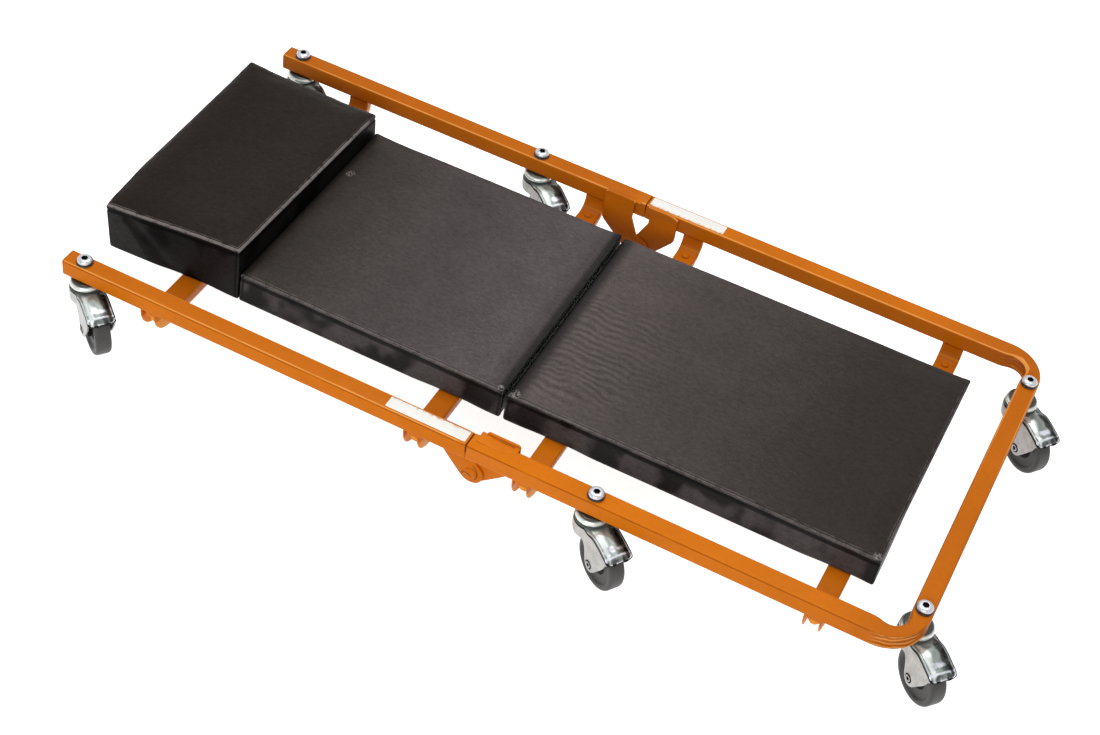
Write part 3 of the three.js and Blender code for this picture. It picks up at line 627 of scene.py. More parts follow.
def rounded_square(width, height, radius, steps=5):
    points = []
    for quarter, (side_x, side_y) in enumerate(((1, 1), (-1, 1), (-1, -1), (1, -1))):
        for i in range(steps + 1):
            turn = (quarter + i / steps) * math.pi / 2
            points.append((side_x * (width / 2 - radius) + radius * math.cos(turn),
                           side_y * (height / 2 - radius) + radius * math.sin(turn)))
    return points


def smooth(share):
    share = min(max(share, 0), 1)
    return share * share * (3 - 2 * share)


def bump_at(value, centre, width):
    """1 at centre, falling to 0 at width on each side."""
    return smooth(1 - abs(value - centre) / width)


def cloud_at(x, y, z, size):
    return noise.noise(Vector((x / size, y / size, z / size)))


# Frame tubes
JOINT_ROUND = 0.8
JOINT_CHAMFER = 0.25
BORE_SECTION = rounded_square(BORE, BORE, TUBE_CORNER - TUBE_WALL)


def rail_ring(x, side, section):
    """A section of the rail on one side, at x."""
    return [(x, side * RAIL_Y + across, RAIL_Z + up) for across, up in section]


def straight_tube(start, stop, side):
    """A hollow rail whose end at the fold is rounded over."""
    rings = []
    for x, shrink in ((start, 0.0), (stop - JOINT_ROUND, 0.0),
                      (stop - JOINT_CHAMFER, JOINT_CHAMFER), (stop, JOINT_ROUND)):
        size = TUBE - 2 * shrink
        rings.append(rail_ring(x, side, rounded_square(size, size, TUBE_CORNER - shrink)))
    rings += [rail_ring(x, side, BORE_SECTION) for x in (stop, start)]
    return Skin().loft(rings, back_to_start=True)


def tube_cap(side):
    """The plug in a rail's head end: a short stem, a plate as wide as the tube and its softened face."""
    rings = []
    for x, size, corner in ((1.65, TUBE - 3.4, 1.2), (1.6, TUBE, TUBE_CORNER), (0.9, TUBE, TUBE_CORNER),
                            (0.25, TUBE - 0.9, TUBE_CORNER - 0.3), (0.02, TUBE - 2.6, TUBE_CORNER - 1),
                            (0.02, TUBE * 0.5, TUBE * 0.15)):
        rings.append(rail_ring(x - HEAD_LENGTH, side, rounded_square(size, size, corner)))
    return Skin().loft(rings)


def denser(points, wanted):
    """Adds points along the straight stretches of a section."""
    result = []
    for i, (x, y) in enumerate(points):
        next_x, next_y = points[(i + 1) % len(points)]
        result.append((x, y))
        parts = max(1, round(math.hypot(next_x - x, next_y - y) / wanted))
        for part in range(1, parts):
            result.append((x + (next_x - x) * part / parts, y + (next_y - y) * part / parts))
    return result


CAP_PLATE = 1.8
for side, word in SIDES:
    make(f"{word}_head_tube", straight_tube(-HEAD_LENGTH + CAP_PLATE, -JOINT_GAP, side), [PAINT], HEAD,
         [f"{word}_head_rail"], sharp=50)
    make(f"{word}_head_cap", tube_cap(side), [PAINT], HEAD, [f"{word}_rail_cap"], sharp=60)


def foot_tube():
    """The bent tube: in each bend the outer wall sinks and creases and the inner wall is pinched."""
    bend_x = FOOT_LENGTH - TUBE / 2 - BEND_RADIUS
    bend_y = RAIL_Y - BEND_RADIUS
    half = TUBE / 2
    steps = 30
    straight_steps = 3
    # Each station: x, y, the tube's heading, how much the wall is strained and how far the end is rounded
    stations = [(JOINT_GAP, -RAIL_Y, 0.0, 0.0, JOINT_ROUND),
                (JOINT_GAP + JOINT_CHAMFER, -RAIL_Y, 0.0, 0.0, JOINT_CHAMFER),
                (JOINT_GAP + JOINT_ROUND, -RAIL_Y, 0.0, 0.0, 0.0)]
    for side, _ in SIDES:
        for i in range(-straight_steps, steps + straight_steps + 1):
            share = i / steps
            held = min(max(share, 0), 1)
            turn = ((held - 1) if side < 0 else held) * math.pi / 2
            extra = (share - held) * 60
            strain = max(math.sin(math.pi * (share + 0.1) / 1.2), 0)
            stations.append((bend_x + BEND_RADIUS * math.cos(turn) - extra * math.sin(turn),
                             side * bend_y + BEND_RADIUS * math.sin(turn) + extra * math.cos(turn),
                             turn + math.pi / 2, strain, 0.0))
    stations += [(x, -y, math.pi, strain, shrink) for x, y, _, strain, shrink in reversed(stations[:3])]

    outer = denser(rounded_square(TUBE, TUBE, TUBE_CORNER), 1.5)
    corners = len(BORE_SECTION)
    inner = [BORE_SECTION[round(i * corners / len(outer)) % corners] for i in range(len(outer))]
    rings = []
    for x, y, heading, strain, shrink in stations:
        ring = []
        scale = 1 - shrink / half
        for across, up in outer:
            level = up / half
            inside = smooth(-across / half)
            if across > 0:
                creases = 0.9 * math.cos(level * math.pi * 3 + math.hypot(x, y) * 0.09)
                moved = (-2.0 + creases) * strain * (1 - level * level) * smooth(across / half)
            else:
                groove = math.cos(level * math.pi * 1.5)
                moved = (7.2 + 1.8 * groove) * strain ** 1.5 * inside
            sunk = 0.5 * strain * inside * (level > 0.8)
            out = across * scale + moved
            ring.append((x + out * math.sin(heading), y - out * math.cos(heading),
                         RAIL_Z + up * scale - sunk))
        rings.append(ring)
    for x, y, heading, strain, _ in reversed(stations):
        pushed = [across + 9.4 * strain ** 1.5 * smooth(-across / (BORE / 2)) for across, _ in inner]
        rings.append([(x + across * math.sin(heading), y - across * math.cos(heading), RAIL_Z + up)
                      for across, (_, up) in zip(pushed, inner)])
    return Skin().loft(rings, back_to_start=True)


make("foot_u_tube", foot_tube(), [PAINT], FOOT, ["foot_frame_tube"], sharp=50)


# Crossbars
BAR_HALF = 12.2
BAR_DEPTH = 18
BAR_PINCH = 3.2
BAR_SHEET = 2
BAR_BEND = 12
RIVET_Y = RAIL_INNER - 14
SCREW_Y = 85
# Rivet and screw heads, as radius and height over the bar's top
BAR_RIVET = ((0.01, -1), (4.5, -1), (4.5, 0.1), (4.35, 0.8), (3.9, 1.4), (3.0, 1.9), (1.6, 2.2), (0.01, 2.3))
BAR_SCREW = ((0.01, -4.6), (2.4, -4.6), (3.9, -4.2), (4.5, -3.4), (4.5, -1.5), (0.01, -1.5))
UPWARDS = (0, 0, 1)
SIDEWAYS = (0, 1, 0)


def channel_section(depth_here, bulge):
    """An open channel: down one flange, across the web, which bulges in bends, and down the other."""
    round_out = 3.0
    round_in = 1.2
    half = [(BAR_HALF - BAR_SHEET / 2 - 0.4, depth_here), (BAR_HALF - 0.4, depth_here),
            (BAR_HALF, depth_here - 0.8), (BAR_HALF, depth_here * 0.6), (BAR_HALF, round_out)]
    for i in range(1, 5):
        turn = i / 5 * math.pi / 2
        half.append((BAR_HALF - round_out * (1 - math.cos(turn)), round_out * (1 - math.sin(turn))))
    half += [(BAR_HALF - round_out, 0), (5, 0)]
    inner = BAR_HALF - BAR_SHEET
    within = [(inner * 0.45, BAR_SHEET + bulge), (inner - round_in, BAR_SHEET + bulge * 0.7),
              (inner, BAR_SHEET + bulge * 0.7 + round_in), (inner, depth_here * 0.85),
              (inner, depth_here - 0.8), (inner + 0.3, depth_here)]
    left_half = [(-across, depth) for across, depth in half]
    left_within = [(-across, depth) for across, depth in reversed(within)]
    points = left_half + list(reversed(half)) + list(reversed(within)) + list(reversed(left_within))
    return [(across - math.copysign(BAR_PINCH * depth / depth_here, across), depth)
            for across, depth in points]


def crossbar(name, x, body):
    """A pressed bar across the frame, bent up at both ends to the rails."""
    bend_z = BAR_TOP + BAR_BEND
    bend_y = RAIL_INNER - BAR_BEND
    half = [(RAIL_INNER, RAIL_BOTTOM - SEAT_GAP, 1.0, 0.0)]
    steps = 16
    for i in range(steps + 1):
        turn = i / steps * math.pi / 2
        half.append((bend_y + BAR_BEND * math.cos(turn), bend_z - BAR_BEND * math.sin(turn),
                     math.cos(turn), math.sin(turn)))
    half.append((bend_y - 40, BAR_TOP, 0.0, 1.0))
    stations = [(-y, z, -outward, down) for y, z, outward, down in half]
    stations += [(y, z, outward, down) for y, z, outward, down in reversed(half)]
    rings = []
    for y, z, outward, down in stations:
        # The flanges keep a slightly squarer corner than the web's bend
        reach = BAR_BEND + BAR_DEPTH
        corner = reach / (abs(outward) ** 2.3 + down ** 2.3) ** (1 / 2.3) - BAR_BEND
        bulge = (corner - BAR_SHEET - 4) * (2 * abs(outward) * down) ** 0.5
        section = channel_section(corner, bulge)
        rings.append([(x + across, y + depth * outward, z - depth * down) for across, depth in section])
    skin = Skin().loft(rings)
    for side, _ in SIDES:
        skin.turned(BAR_RIVET, 28, (x, side * RIVET_Y, BAR_TOP), UPWARDS)
        skin.turned(BAR_SCREW, 24, (x, side * SCREW_Y, BAR_TOP), UPWARDS)
    make(name + "_pressing", skin, [PAINT], body, [name], sharp=42)


crossbar("head_crossbar", -OUTER_BAR_X, HEAD)
crossbar("head_fold_crossbar", -FOLD_BAR_X, HEAD)
crossbar("foot_fold_crossbar", FOLD_BAR_X, FOOT)
crossbar("foot_crossbar", OUTER_BAR_X, FOOT)


# Fold hinges
HINGE_SHEET = 2.4
LOBE = 13.5


def arc(centre, radius, start, stop, steps):
    return [(centre[0] + radius * math.cos(start + (stop - start) * i / steps),
             centre[1] + radius * math.sin(start + (stop - start) * i / steps)) for i in range(steps + 1)]


def bezier(start, middle, end, steps):
    result = []
    for i in range(1, steps + 1):
        t = i / steps
        result.append(tuple((1 - t) ** 2 * a + 2 * t * (1 - t) * b + t * t * c
                            for a, b, c in zip(start, middle, end)))
    return result


def hinge_outline(start, end, top, corner, waist):
    """Outline of one hinge plate in x and z, with the lobe around the pivot."""
    entry = -math.pi / 4
    leave = math.pi * 0.72
    touch = (LOBE * math.cos(entry), PIVOT_Z + LOBE * math.sin(entry))
    points = [(start + 1, top), (end - 2, top), (end, top - 2), (end, corner + 4)]
    points += bezier((end, corner + 4), (end, corner), (end - 3, corner - 3.4), 5)
    points += bezier(points[-1], (end / 2 + LOBE / 8, PIVOT_Z + (corner - PIVOT_Z) / 8), touch, 10)
    lobe = arc((0, PIVOT_Z), LOBE, entry, leave - math.tau, 26)
    points += lobe[1:]
    points += [(waist, PIVOT_Z + LOBE * 1.2), (start, RAIL_TOP - 22), (start, top - 1)]
    return points


def sheet_plate(outline, y, mirror=1):
    return Skin().loft([[(mirror * x, face_y, z) for x, z in outline] for face_y in (y, y + HINGE_SHEET)])


def half_turn(point):
    return Vector((-point[0], -point[1], point[2]))


def flat_plate(rimmed):
    """The plate that lies on the rail's inner side, on one side with a rim that rises past the rail's top."""
    y = -RAIL_INNER + SEAT_GAP
    skin = sheet_plate(hinge_outline(7, 40, RAIL_TOP - 4, RAIL_TOP - 34, -LOBE / 4), y, -1)
    if rimmed:
        rim = []
        low = RAIL_TOP - 7
        for x in (-40, -39, -37, -30, -20, -12, -7, -5, -4):
            top = RAIL_TOP + 1.0 - 3.5 * smooth((abs(x) - 33) / 7)
            rim.append([(x, y, low), (x, y + 2.9, low), (x, y + 2.9, top - 0.8), (x, y + 2.1, top),
                        (x, y + 0.5, top), (x, y, top - 0.5)])
        skin.loft(rim)
    return skin


def spaced_plate(fold, lip_height):
    """The plate that stands off the rail, its tab folded over the rail's top and the lip beside it."""
    y = -RAIL_INNER + HINGE_SHEET + 2 * SEAT_GAP
    skin = sheet_plate(hinge_outline(12, 47, RAIL_TOP + 3.0, RAIL_TOP - 35, LOBE / 4), y)
    low = RAIL_TOP + 0.08
    tab = []
    for x in (6, 6.3, 7, 8, 9, 10, 11.5, 14, 18, 23, 28, 33, 36, 39, 42, 45, 46.4, 47):
        reach = 10 - 5 * smooth((x - 30) / 16)
        lift = 0.6 * bump_at(x, 8.4, 2.6) - 0.4 * smooth(1 - (x - 6) / 0.7)
        high = low + 0.2 + fold * (1 - smooth((x - 14) / 14) + lift)
        tab.append([(x, -RAIL_INNER - reach - 0.15, low), (x, y + 0.6, low), (x, y + 0.6, high),
                    (x, -RAIL_INNER - 3, high), (x, -RAIL_INNER - reach * 0.6, high - fold * 0.1),
                    (x, -RAIL_INNER - reach + 1.6, low + (high - low) * 0.7),
                    (x, -RAIL_INNER - reach, low + (high - low) * 0.3)])
    skin.loft(tab)
    lip = []
    for x in (11, 12, 13.5, 15.5, 18, 21, 26, 32, 38, 42, 44, 45.5, 46.5, 47):
        ending = math.sqrt(max(1 - ((x - 41) / 6.2) ** 2, 0) if x > 41 else 1)
        height = 1.0 + (lip_height - 1.0) * smooth((x - 9) / 6) * ending
        top = RAIL_TOP + height
        lip.append([(x, y - 2.0, RAIL_TOP + 0.4), (x, y + HINGE_SHEET, RAIL_TOP + 0.4),
                    (x, y + HINGE_SHEET, top - 0.9), (x, y + HINGE_SHEET - 0.4, top - 0.2),
                    (x, y + HINGE_SHEET - 1.0, top), (x, y + 0.5, top), (x, y - 0.2, top - 0.3),
                    (x, y - 0.5, top - 1.0)])
    return skin.loft(lip)


hinges = (
    ("right_head_hinge_plate", flat_plate(False), False, HEAD),
    ("right_foot_hinge_plate", spaced_plate(0.8, 2.8), False, FOOT),
    ("left_foot_hinge_plate", flat_plate(True), True, FOOT),
    ("left_head_hinge_plate", spaced_plate(0.4, 1.4), True, HEAD),
)
for name, skin, turned_round, body in hinges:
    if turned_round:
        skin.shifted(half_turn)
    make(name.replace("hinge_plate", "hinge_stamping"), skin, [PAINT], body, [name],
         bevel=0.4)

PIN_HALF = ((0.01, -4.4), (3.0, -4.35), (5.0, -4.1), (6.1, -3.5), (6.5, -2.9), (4, -2.8))
for side, word in SIDES:
    middle = RAIL_INNER - SEAT_GAP - HINGE_SHEET - SEAT_GAP / 2
    profile = [*PIN_HALF, *((radius, -along) for radius, along in reversed(PIN_HALF))]
    pin = Skin().turned(profile, 32, (0, side * middle, PIVOT_Z), SIDEWAYS)
    make(f"{word}_pivot_rivet", pin, [PAINT], HEAD, [f"{word}_pivot_pin"])


# Stickers
def sticker(name, turned_round, body):
    length = 88
    width = 14
    fold_margin = 3
    outline = rounded_square(length, width, 1.2, 4)
    rings = []
    for rise, inset in ((0.05, 0), (0.26, 0), (0.30, 0.15)):
        rings.append([(-length / 2 - fold_margin + x * (1 - inset / length),
                       -RAIL_Y + y * (1 - 2 * inset / width), RAIL_TOP + rise) for x, y in outline])
    skin = Skin().loft(rings)
    if turned_round:
        skin.shifted(half_turn)
    make(name.replace("label", "sticker"), skin, [WHITE], body, [name])


sticker("right_rail_label", False, HEAD)
sticker("left_rail_label", True, FOOT)


# Castors, drawn with the stem at zero and the wheel trailing along x
HOOD_REACH = 57
FORK_SHEET = 1.8
CREASE_STRIP = 2.7
# Where the hood is crimped across its width, as a share of its half width
CRIMP = 0.42
# Lower edge of the side plates, as x and height
SIDE_EDGE = [
    (-17.4, 60.4), (-14.0, 58.6), (-10.5, 55.4), (-7.0, 52.6), (-3.0, 50.4), (2.0, 49.2), (8.0, 49.0),
    (12.4, 47.8), (15.2, 44.6), (17.0, 40.0), (18.4, 35.0), (20.0, 29.4), (22.6, 24.8), (26.0, 22.2),
    (29.6, 21.7), (33.0, 23.2), (36.0, 26.0), (40.0, 32.0), (44.0, 38.2), (48.0, 44.4), (52.0, 50.4),
    (55.2, 54.8), (57.0, 56.2),
]


def crown_half(x):
    """Half width of the fork at x."""
    round_part = math.sqrt(max(CROWN_RADIUS ** 2 - x * x, 0))
    return round_part if x <= 0 else max(round_part, FORK_HALF)


def hood_height(x):
    """Height of the fork's top above the floor along its middle."""
    rise = 2.4 * smooth((x - 17) / 12)
    fall = 7.6 * smooth((x - 22) / 40) ** 1.1
    return FORK_TOP - 0.6 + rise - fall


def hood_point(x, share):
    """A point of the chrome roof; share runs from -1 to 1 across it."""
    outward = abs(share)
    flute = smooth((x - 12) / 12)
    rim = 0.5 * bump_at(outward, 0.93, 0.10) * flute
    valley = -0.5 * bump_at(outward, 0.76, 0.14) * flute
    arch = 3.2 * (1 - outward ** 2.2) * flute
    lip = smooth((x - 42) / 6)
    swell = 0.9 * bump_at(x, 50, 8) * (1 - outward ** 3)
    back = 3.2 * smooth((x - 48) / 9) * outward ** 5
    crimps = bump_at(share, -CRIMP, 0.26) + bump_at(share, CRIMP, 0.26)
    tuck = -5.0 * smooth((x - 51) / 6) * (0.75 + 0.25 * crimps) * (1 - outward ** 6)
    return Vector((x - back, crown_half(x) * share,
                   hood_height(x) + rim + valley + arch * (1 - 0.4 * lip) + swell + tuck))


def edge_height(x):
    """Height of the side plates' lower edge at x."""
    for (x0, z0), (x1, z1) in zip(SIDE_EDGE, SIDE_EDGE[1:]):
        if x0 <= x <= x1:
            return z0 + (z1 - z0) * (x - x0) / (x1 - x0)
    return SIDE_EDGE[0][1] if x < SIDE_EDGE[0][0] else SIDE_EDGE[-1][1]


def castor_fork():
    """Crown, roof and both side plates as one sheet: chrome, satin sides, and painted shade in the crease
    between them, in the crimps at the tip and along the tip's edge.
    """
    skin = Skin()
    knee = math.sqrt(CROWN_RADIUS ** 2 - FORK_HALF ** 2)
    places = {-CROWN_RADIUS * share for share in (0.999, 0.985, 0.94, 0.86, 0.74, 0.6, 0.42, 0.22, 0)}
    places |= {4, knee, 14, 17, 20, 24, 34, 38, 42, 45, 47, 49, 50.5, 52.5, 54, 55.5, 56.4, HOOD_REACH}
    places = sorted(places | {x for x, _ in SIDE_EDGE if x < HOOD_REACH})
    across_shares = [-1, -0.97, -0.93, -0.87, *(0.1 * i for i in range(-8, 9)), 0.87, 0.93, 0.97, 1]
    skin.loft([[hood_point(x, share) for share in across_shares] for x in places], looped=False, capped=False)
    strips = len(across_shares) - 1
    for i in range(len(skin.faces) - strips * 2, len(skin.faces)):
        middle = (across_shares[i % strips] + across_shares[i % strips + 1]) / 2
        if abs(abs(middle) - CRIMP) < 0.16 or i >= len(skin.faces) - strips:
            skin.marks[i] = 2
    for side, _ in SIDES:
        columns = []
        for x in places:
            corner = hood_point(x, side)
            top = corner.z - CREASE_STRIP
            bottom = min(edge_height(x), corner.z - 3.0)
            column = [corner, (corner.x, corner.y, corner.z - 0.3), (corner.x, corner.y, top)]
            for share in (0.02, 0.1, 0.25, 0.4, 0.55, 0.7, 0.85, 1):
                bulge = 0.35 * smooth(share * 12) + 0.15 * math.sin(math.pi * share)
                column.append((corner.x, corner.y + side * bulge, top + (bottom - top) * share))
            columns.append(column)
        first = len(skin.faces)
        skin.loft(columns, looped=False, capped=False, mark=1)
        bands = len(columns[0]) - 1
        for i in range(first, len(skin.faces)):
            if (i - first) % bands < 2:
                skin.marks[i] = 2
    return skin


def place_castor(stem_x, stem_y, trails):
    """Moves a castor's point to its stem, turned by trails degrees."""
    turn = math.radians(trails)

    def moved(point):
        return Vector((stem_x + point[0] * math.cos(turn) - point[1] * math.sin(turn),
                       stem_y + point[0] * math.sin(turn) + point[1] * math.cos(turn), point[2]))
    return moved


def wheel_skin():
    """Plain moulded wheel: hub, dished faces and a crowned tread with round shoulders."""
    half = [(4.35, 12.2), (8.2, 12.2), (9.0, 11.4), (9.4, 7.0), (10.4, 5.9), (13.6, 5.5), (21.5, 5.6),
            (22.8, 6.4), (23.4, 7.6), (24.2, 8.3), (25.6, 8.6), (27.4, 8.5), (28.6, 8.1), (29.4, 7.3),
            (29.85, 6.2), (30.0, 4.8), (30.0, 0.35)]
    profile = half + [(29.98, 0.0)] + [(radius, -y) for radius, y in reversed(half)]
    steps = 72
    rings = []
    for i in range(steps):
        turn = i * math.tau / steps
        rings.append([(TRAIL + radius * math.sin(turn), y, WHEEL_RADIUS + radius * math.cos(turn))
                      for radius, y in profile])
    skin = Skin().loft(rings, back_to_start=True)
    # The groove around the hub is coloured as painted shade on both faces
    for i in range(len(skin.marks)):
        band = i % len(profile)
        if min(band, len(profile) - 2 - band) in (2, 3, 4):
            skin.marks[i] = 1
    return skin


def axle_skin():
    """Tubular rivet with rolled heads, with painted shade inside and where it meets the fork."""
    half = [(0.01, -15.0), (1.6, -15.1), (2.1, -15.9), (2.9, -16.2), (3.7, -15.9), (4.0, -15.3), (5.2, -15.2),
            (5.5, -14.8), (4, -14.5)]
    profile = half + [(radius, -along) for radius, along in reversed(half)]
    return Skin().turned(profile, 28, (TRAIL, 0, WHEEL_RADIUS), SIDEWAYS, dark=(0, 1, 4, 5, 11, 12, 15, 16))


def cup_skin():
    """Pressed bearing cup under the tube, with a rolled rim and the race below it coloured as painted shade.
    """
    top = RAIL_BOTTOM - SEAT_GAP
    steps = 44
    stem = (0, 0, 0)
    bright = [(5.3, top), (11.6, top), (13.4, top - 0.5), (14.9, top - 1.6), (16.2, top - 3.0),
              (17.0, top - 4.2), (17.2, top - 5.2), (16.9, top - 6.0), (16.0, top - 6.4), (15.0, top - 6.1),
              (14.6, top - 4.6), (13.0, top - 2.4), (5.3, top - 1.8)]
    race = [(0.01, 60.5), (9.2, 60.5), (10.0, 60.9), (10.0, 62.3), (7.0, 62.4), (7.0, 65.3), (13.6, 65.2),
            (14.6, 66.0), (14.4, top - 5.4), (12.4, top - 2.9), (0.01, top - 2.4)]
    return Skin().turned(bright, steps, stem, UPWARDS, closed=True).turned(race, steps, stem, UPWARDS, mark=1)


def bolt_skin():
    """Button head with a hexagon socket, on its shank; the socket and the head's underside are coloured as
    painted shade.
    """
    seat = RAIL_TOP + 2.1
    steps = 36
    turns = [i * math.tau / steps for i in range(steps)]
    head = ((0.01, 60.6), (5, 60.6), (5, seat), (7.4, seat), (8.1, seat + 0.9), (8.1, seat + 1.6),
            (7.8, seat + 2.5), (7.2, seat + 3.4), (6.2, seat + 4.15), (5.0, seat + 4.5), (3.9, seat + 4.6))
    socket = ((3.15, seat + 4.55), (3.0, seat + 4.2), (3.0, seat + 1.8), (0.01, seat + 1.4))

    def ring(z, radius_at):
        return [(radius_at(turn) * math.cos(turn), radius_at(turn) * math.sin(turn), z) for turn in turns]

    def from_middle(turn):
        """How far the turn is from the middle of the nearest flat of the hexagon."""
        return (turn + math.pi / 6) % (math.pi / 3) - math.pi / 6

    rings = [ring(z, lambda turn: radius) for radius, z in head]
    rings += [ring(z, lambda turn: flats / math.cos(from_middle(turn))) for flats, z in socket]
    return Skin().loft(rings, dark=(2, 3, 11, 12, 13))


def washer_skin():
    """Split spring washer whose ends stand apart in height."""
    bottom = RAIL_TOP + 0.15
    section = ((5.4, 0), (8.4, 0), (8.8, 0.3), (8.8, 1.2), (8.5, 1.5), (5.4, 1.5))
    rings = []
    steps = 40
    for i in range(steps + 1):
        share = i / steps
        turn = math.radians(8) + share * (math.tau - math.radians(12))
        lift = 0.3 * share
        rings.append([(radius * math.cos(turn), radius * math.sin(turn), bottom + lift + rise)
                      for radius, rise in section])
    return Skin().loft(rings)


def give_sheet(fork):
    """Thickens the fork inwards and softens its cut edges."""
    thick = fork.modifiers.new("sheet", "SOLIDIFY")
    thick.thickness = FORK_SHEET * MM
    thick.offset = -1
    soft = fork.modifiers.new("edges", "BEVEL")
    soft.width = 0.35 * MM
    soft.segments = 2
    soft.limit_method = "ANGLE"
    soft.angle_limit = math.radians(50)


for name, (section, stem_x, stem_y, trails) in CASTORS.items():
    swivel = f"{name}_swivel"
    wheel = f"{name}_wheel"
    castor_pieces = (
        ("fork_pressing", "castor_fork", castor_fork(), trails, [CHROME, STEEL, CREASE_SHADE], swivel,
         "chrome_plate", 38),
        ("axle_rivet", "castor_axle", axle_skin(), trails, [STEEL, CREASE_SHADE], swivel, "zinc_steel", 40),
        ("wheel_moulding", "castor_wheel", wheel_skin(), trails, [NYLON, CREASE_SHADE], wheel, "wheel_plastic", 35),
        ("bearing_cup", "swivel_cup", cup_skin(), 0, [CUP, CREASE_SHADE], section, "chrome_plate", 45),
        ("button_bolt", "castor_bolt", bolt_skin(), 0, [ZINC, CREASE_SHADE], section, "zinc_steel", 32),
        ("split_washer", "spring_washer", washer_skin(), 40, [SPRING], section, "zinc_steel", 35),
    )
    for word, node, skin, turned_by, materials, body, slot, sharp in castor_pieces:
        skin.shifted(place_castor(stem_x, stem_y, turned_by))
        piece = make(f"{name}_{word}", skin, materials, body, [f"{name}_{node}"], sharp=sharp)
        if node == "castor_fork":
            give_sheet(piece)


# Pads. Each has its section, ends along x and the beads' insets there, top height, tilt as level, rise
# along x, lean across y and twist, what the cover spreads to the near side, sheen and how light the painted
# shade of its sides is, the strength of the beads across its ends, the board's ends, how far the foot end
# draws in below, the drop at the fold end, painted light and shade along x, scuffs and painted highlights as
# x, y, reach and strength, and the strength of the painted highlight along the edges
PADS = {
    "head_pad": {
        "body": HEAD, "ends": (-473.5, -308.1), "insets": (1.2, 0.3), "top": HEAD_PAD_TOP,
        "tilt": (0.875, 2.375, 0.125, -3.375), "spread": 5, "sheen": 0.05, "sides": 0.7,
        "beads": (1, 1), "board": (-463.8, -300), "undercut": 0, "soft_start": 0,
        "tones": ((-472, (0.0165, 0.0118, 0.0090)), (-330, (0.0220, 0.0172, 0.0145))),
        "scuffs": ((-471, -136, 9, 0.25), (-310, -136, 6, 0.3)), "edge_highlight": 2.2, "ripples": False,
    },
    "middle_pad": {
        "body": HEAD, "ends": (-307.7, -1.4), "insets": (0, 0), "top": PAD_TOP,
        "tilt": (0.6, 0.2, 0.6, 0.2), "spread": 0, "sheen": 0.10, "sides": 1.5,
        "beads": (0, 0.4), "board": (-316, -14.7), "undercut": 1.5, "soft_start": 0,
        # Middle pad: painted shadow beside the headrest, painted light rising towards the fold and painted
        # shade in it
        "tones": ((-308, (0.008, 0.006, 0.005)), (-295, (0.034, 0.028, 0.024)), (-170, (0.064, 0.052, 0.051)),
                  (-30, (0.092, 0.076, 0.076)), (-13, (0.070, 0.058, 0.058)), (-5.5, (0.012, 0.010, 0.010)),
                  (-2.5, (0.002, 0.002, 0.002))),
        # The middle pad's two spots are painted highlights: at its fold corner and in its dimple
        "scuffs": ((-7, -133, 6, 0.45), (-295, 62, 9, 0.4)), "edge_highlight": 0.8, "ripples": False,
    },
    "foot_pad": {
        "body": FOOT, "ends": (0.9, 401.6), "insets": (0.2, 1.2), "top": PAD_TOP,
        "tilt": (1.0, 0.8, 1.0, 0.6), "spread": 0, "sheen": 0.10, "sides": 1.5,
        "beads": (0, 1), "board": (9.9, 390.5), "undercut": 5, "soft_start": 2.6,
        # Foot pad: painted shade in the fold, and painted light falling off towards the foot end
        "tones": ((2.5, (0.002, 0.002, 0.002)), (8, (0.020, 0.016, 0.015)), (22, (0.092, 0.076, 0.074)),
                  (150, (0.058, 0.047, 0.045)), (350, (0.026, 0.0200, 0.0168))),
        "scuffs": ((8, -131, 9, 0.45), (394, -133, 7, 0.4)), "edge_highlight": 0.7, "ripples": True,
    },
}
PAD_EDGE = 2.6
SIDE_INSET = 1.2
TOP_INSET = 0.6
FAR_SIDE = 3.2
BOARD_HALF = 129.8
BOARD_TOP = PAD_BOTTOM + 9.3
COVER_MOST = 3.0
AIR_CELL = 9.0
AIR_FRAMES = 20
AIR_PRESSURE = 4


def box_grid(lines):
    """The skin of a box whose points lie where the lines along the three axes cross."""
    skin = Skin()
    index = {}

    def corner(key):
        if key not in index:
            index[key] = len(skin.points)
            skin.points.append(Vector([line[i] for line, i in zip(lines, key)]))
        return index[key]

    for axis in range(3):
        across = (axis + 1) % 3
        along = (axis + 2) % 3
        for end in (0, len(lines[axis]) - 1):
            for i in range(len(lines[across]) - 1):
                for j in range(len(lines[along]) - 1):
                    face = []
                    for step_i, step_j in ((0, 0), (1, 0), (1, 1), (0, 1)):
                        key = [0, 0, 0]
                        key[axis] = end
                        key[across] = i + step_i
                        key[along] = j + step_j
                        face.append(corner(tuple(key)))
                    skin.add(tuple(face if end else reversed(face)))
    return skin


def edge_core(point, low, high):
    """The point of the box's core that the rounded edges are drawn about."""
    return Vector([max(a + PAD_EDGE, min(b - PAD_EDGE, p)) for p, a, b in zip(point, low, high)])


def even_lines(low, high, step):
    count = max(2, round((high - low) / step))
    return [low + (high - low) * i / count for i in range(count + 1)]


def edge_lines(low, high, step, extra=()):
    """Lines that lie close together near both ends and step apart between them."""
    close = (0, 0.5, 1.1, 1.8, 2.5, 3.2, 3.9, 4.6, 5.6, 7.0, 9.0)
    lines = {low + gap for gap in close} | {high - gap for gap in close}
    lines |= set(even_lines(low + close[-1], high - close[-1], step))
    lines |= {line for line in extra if low < line < high}
    return sorted(lines)


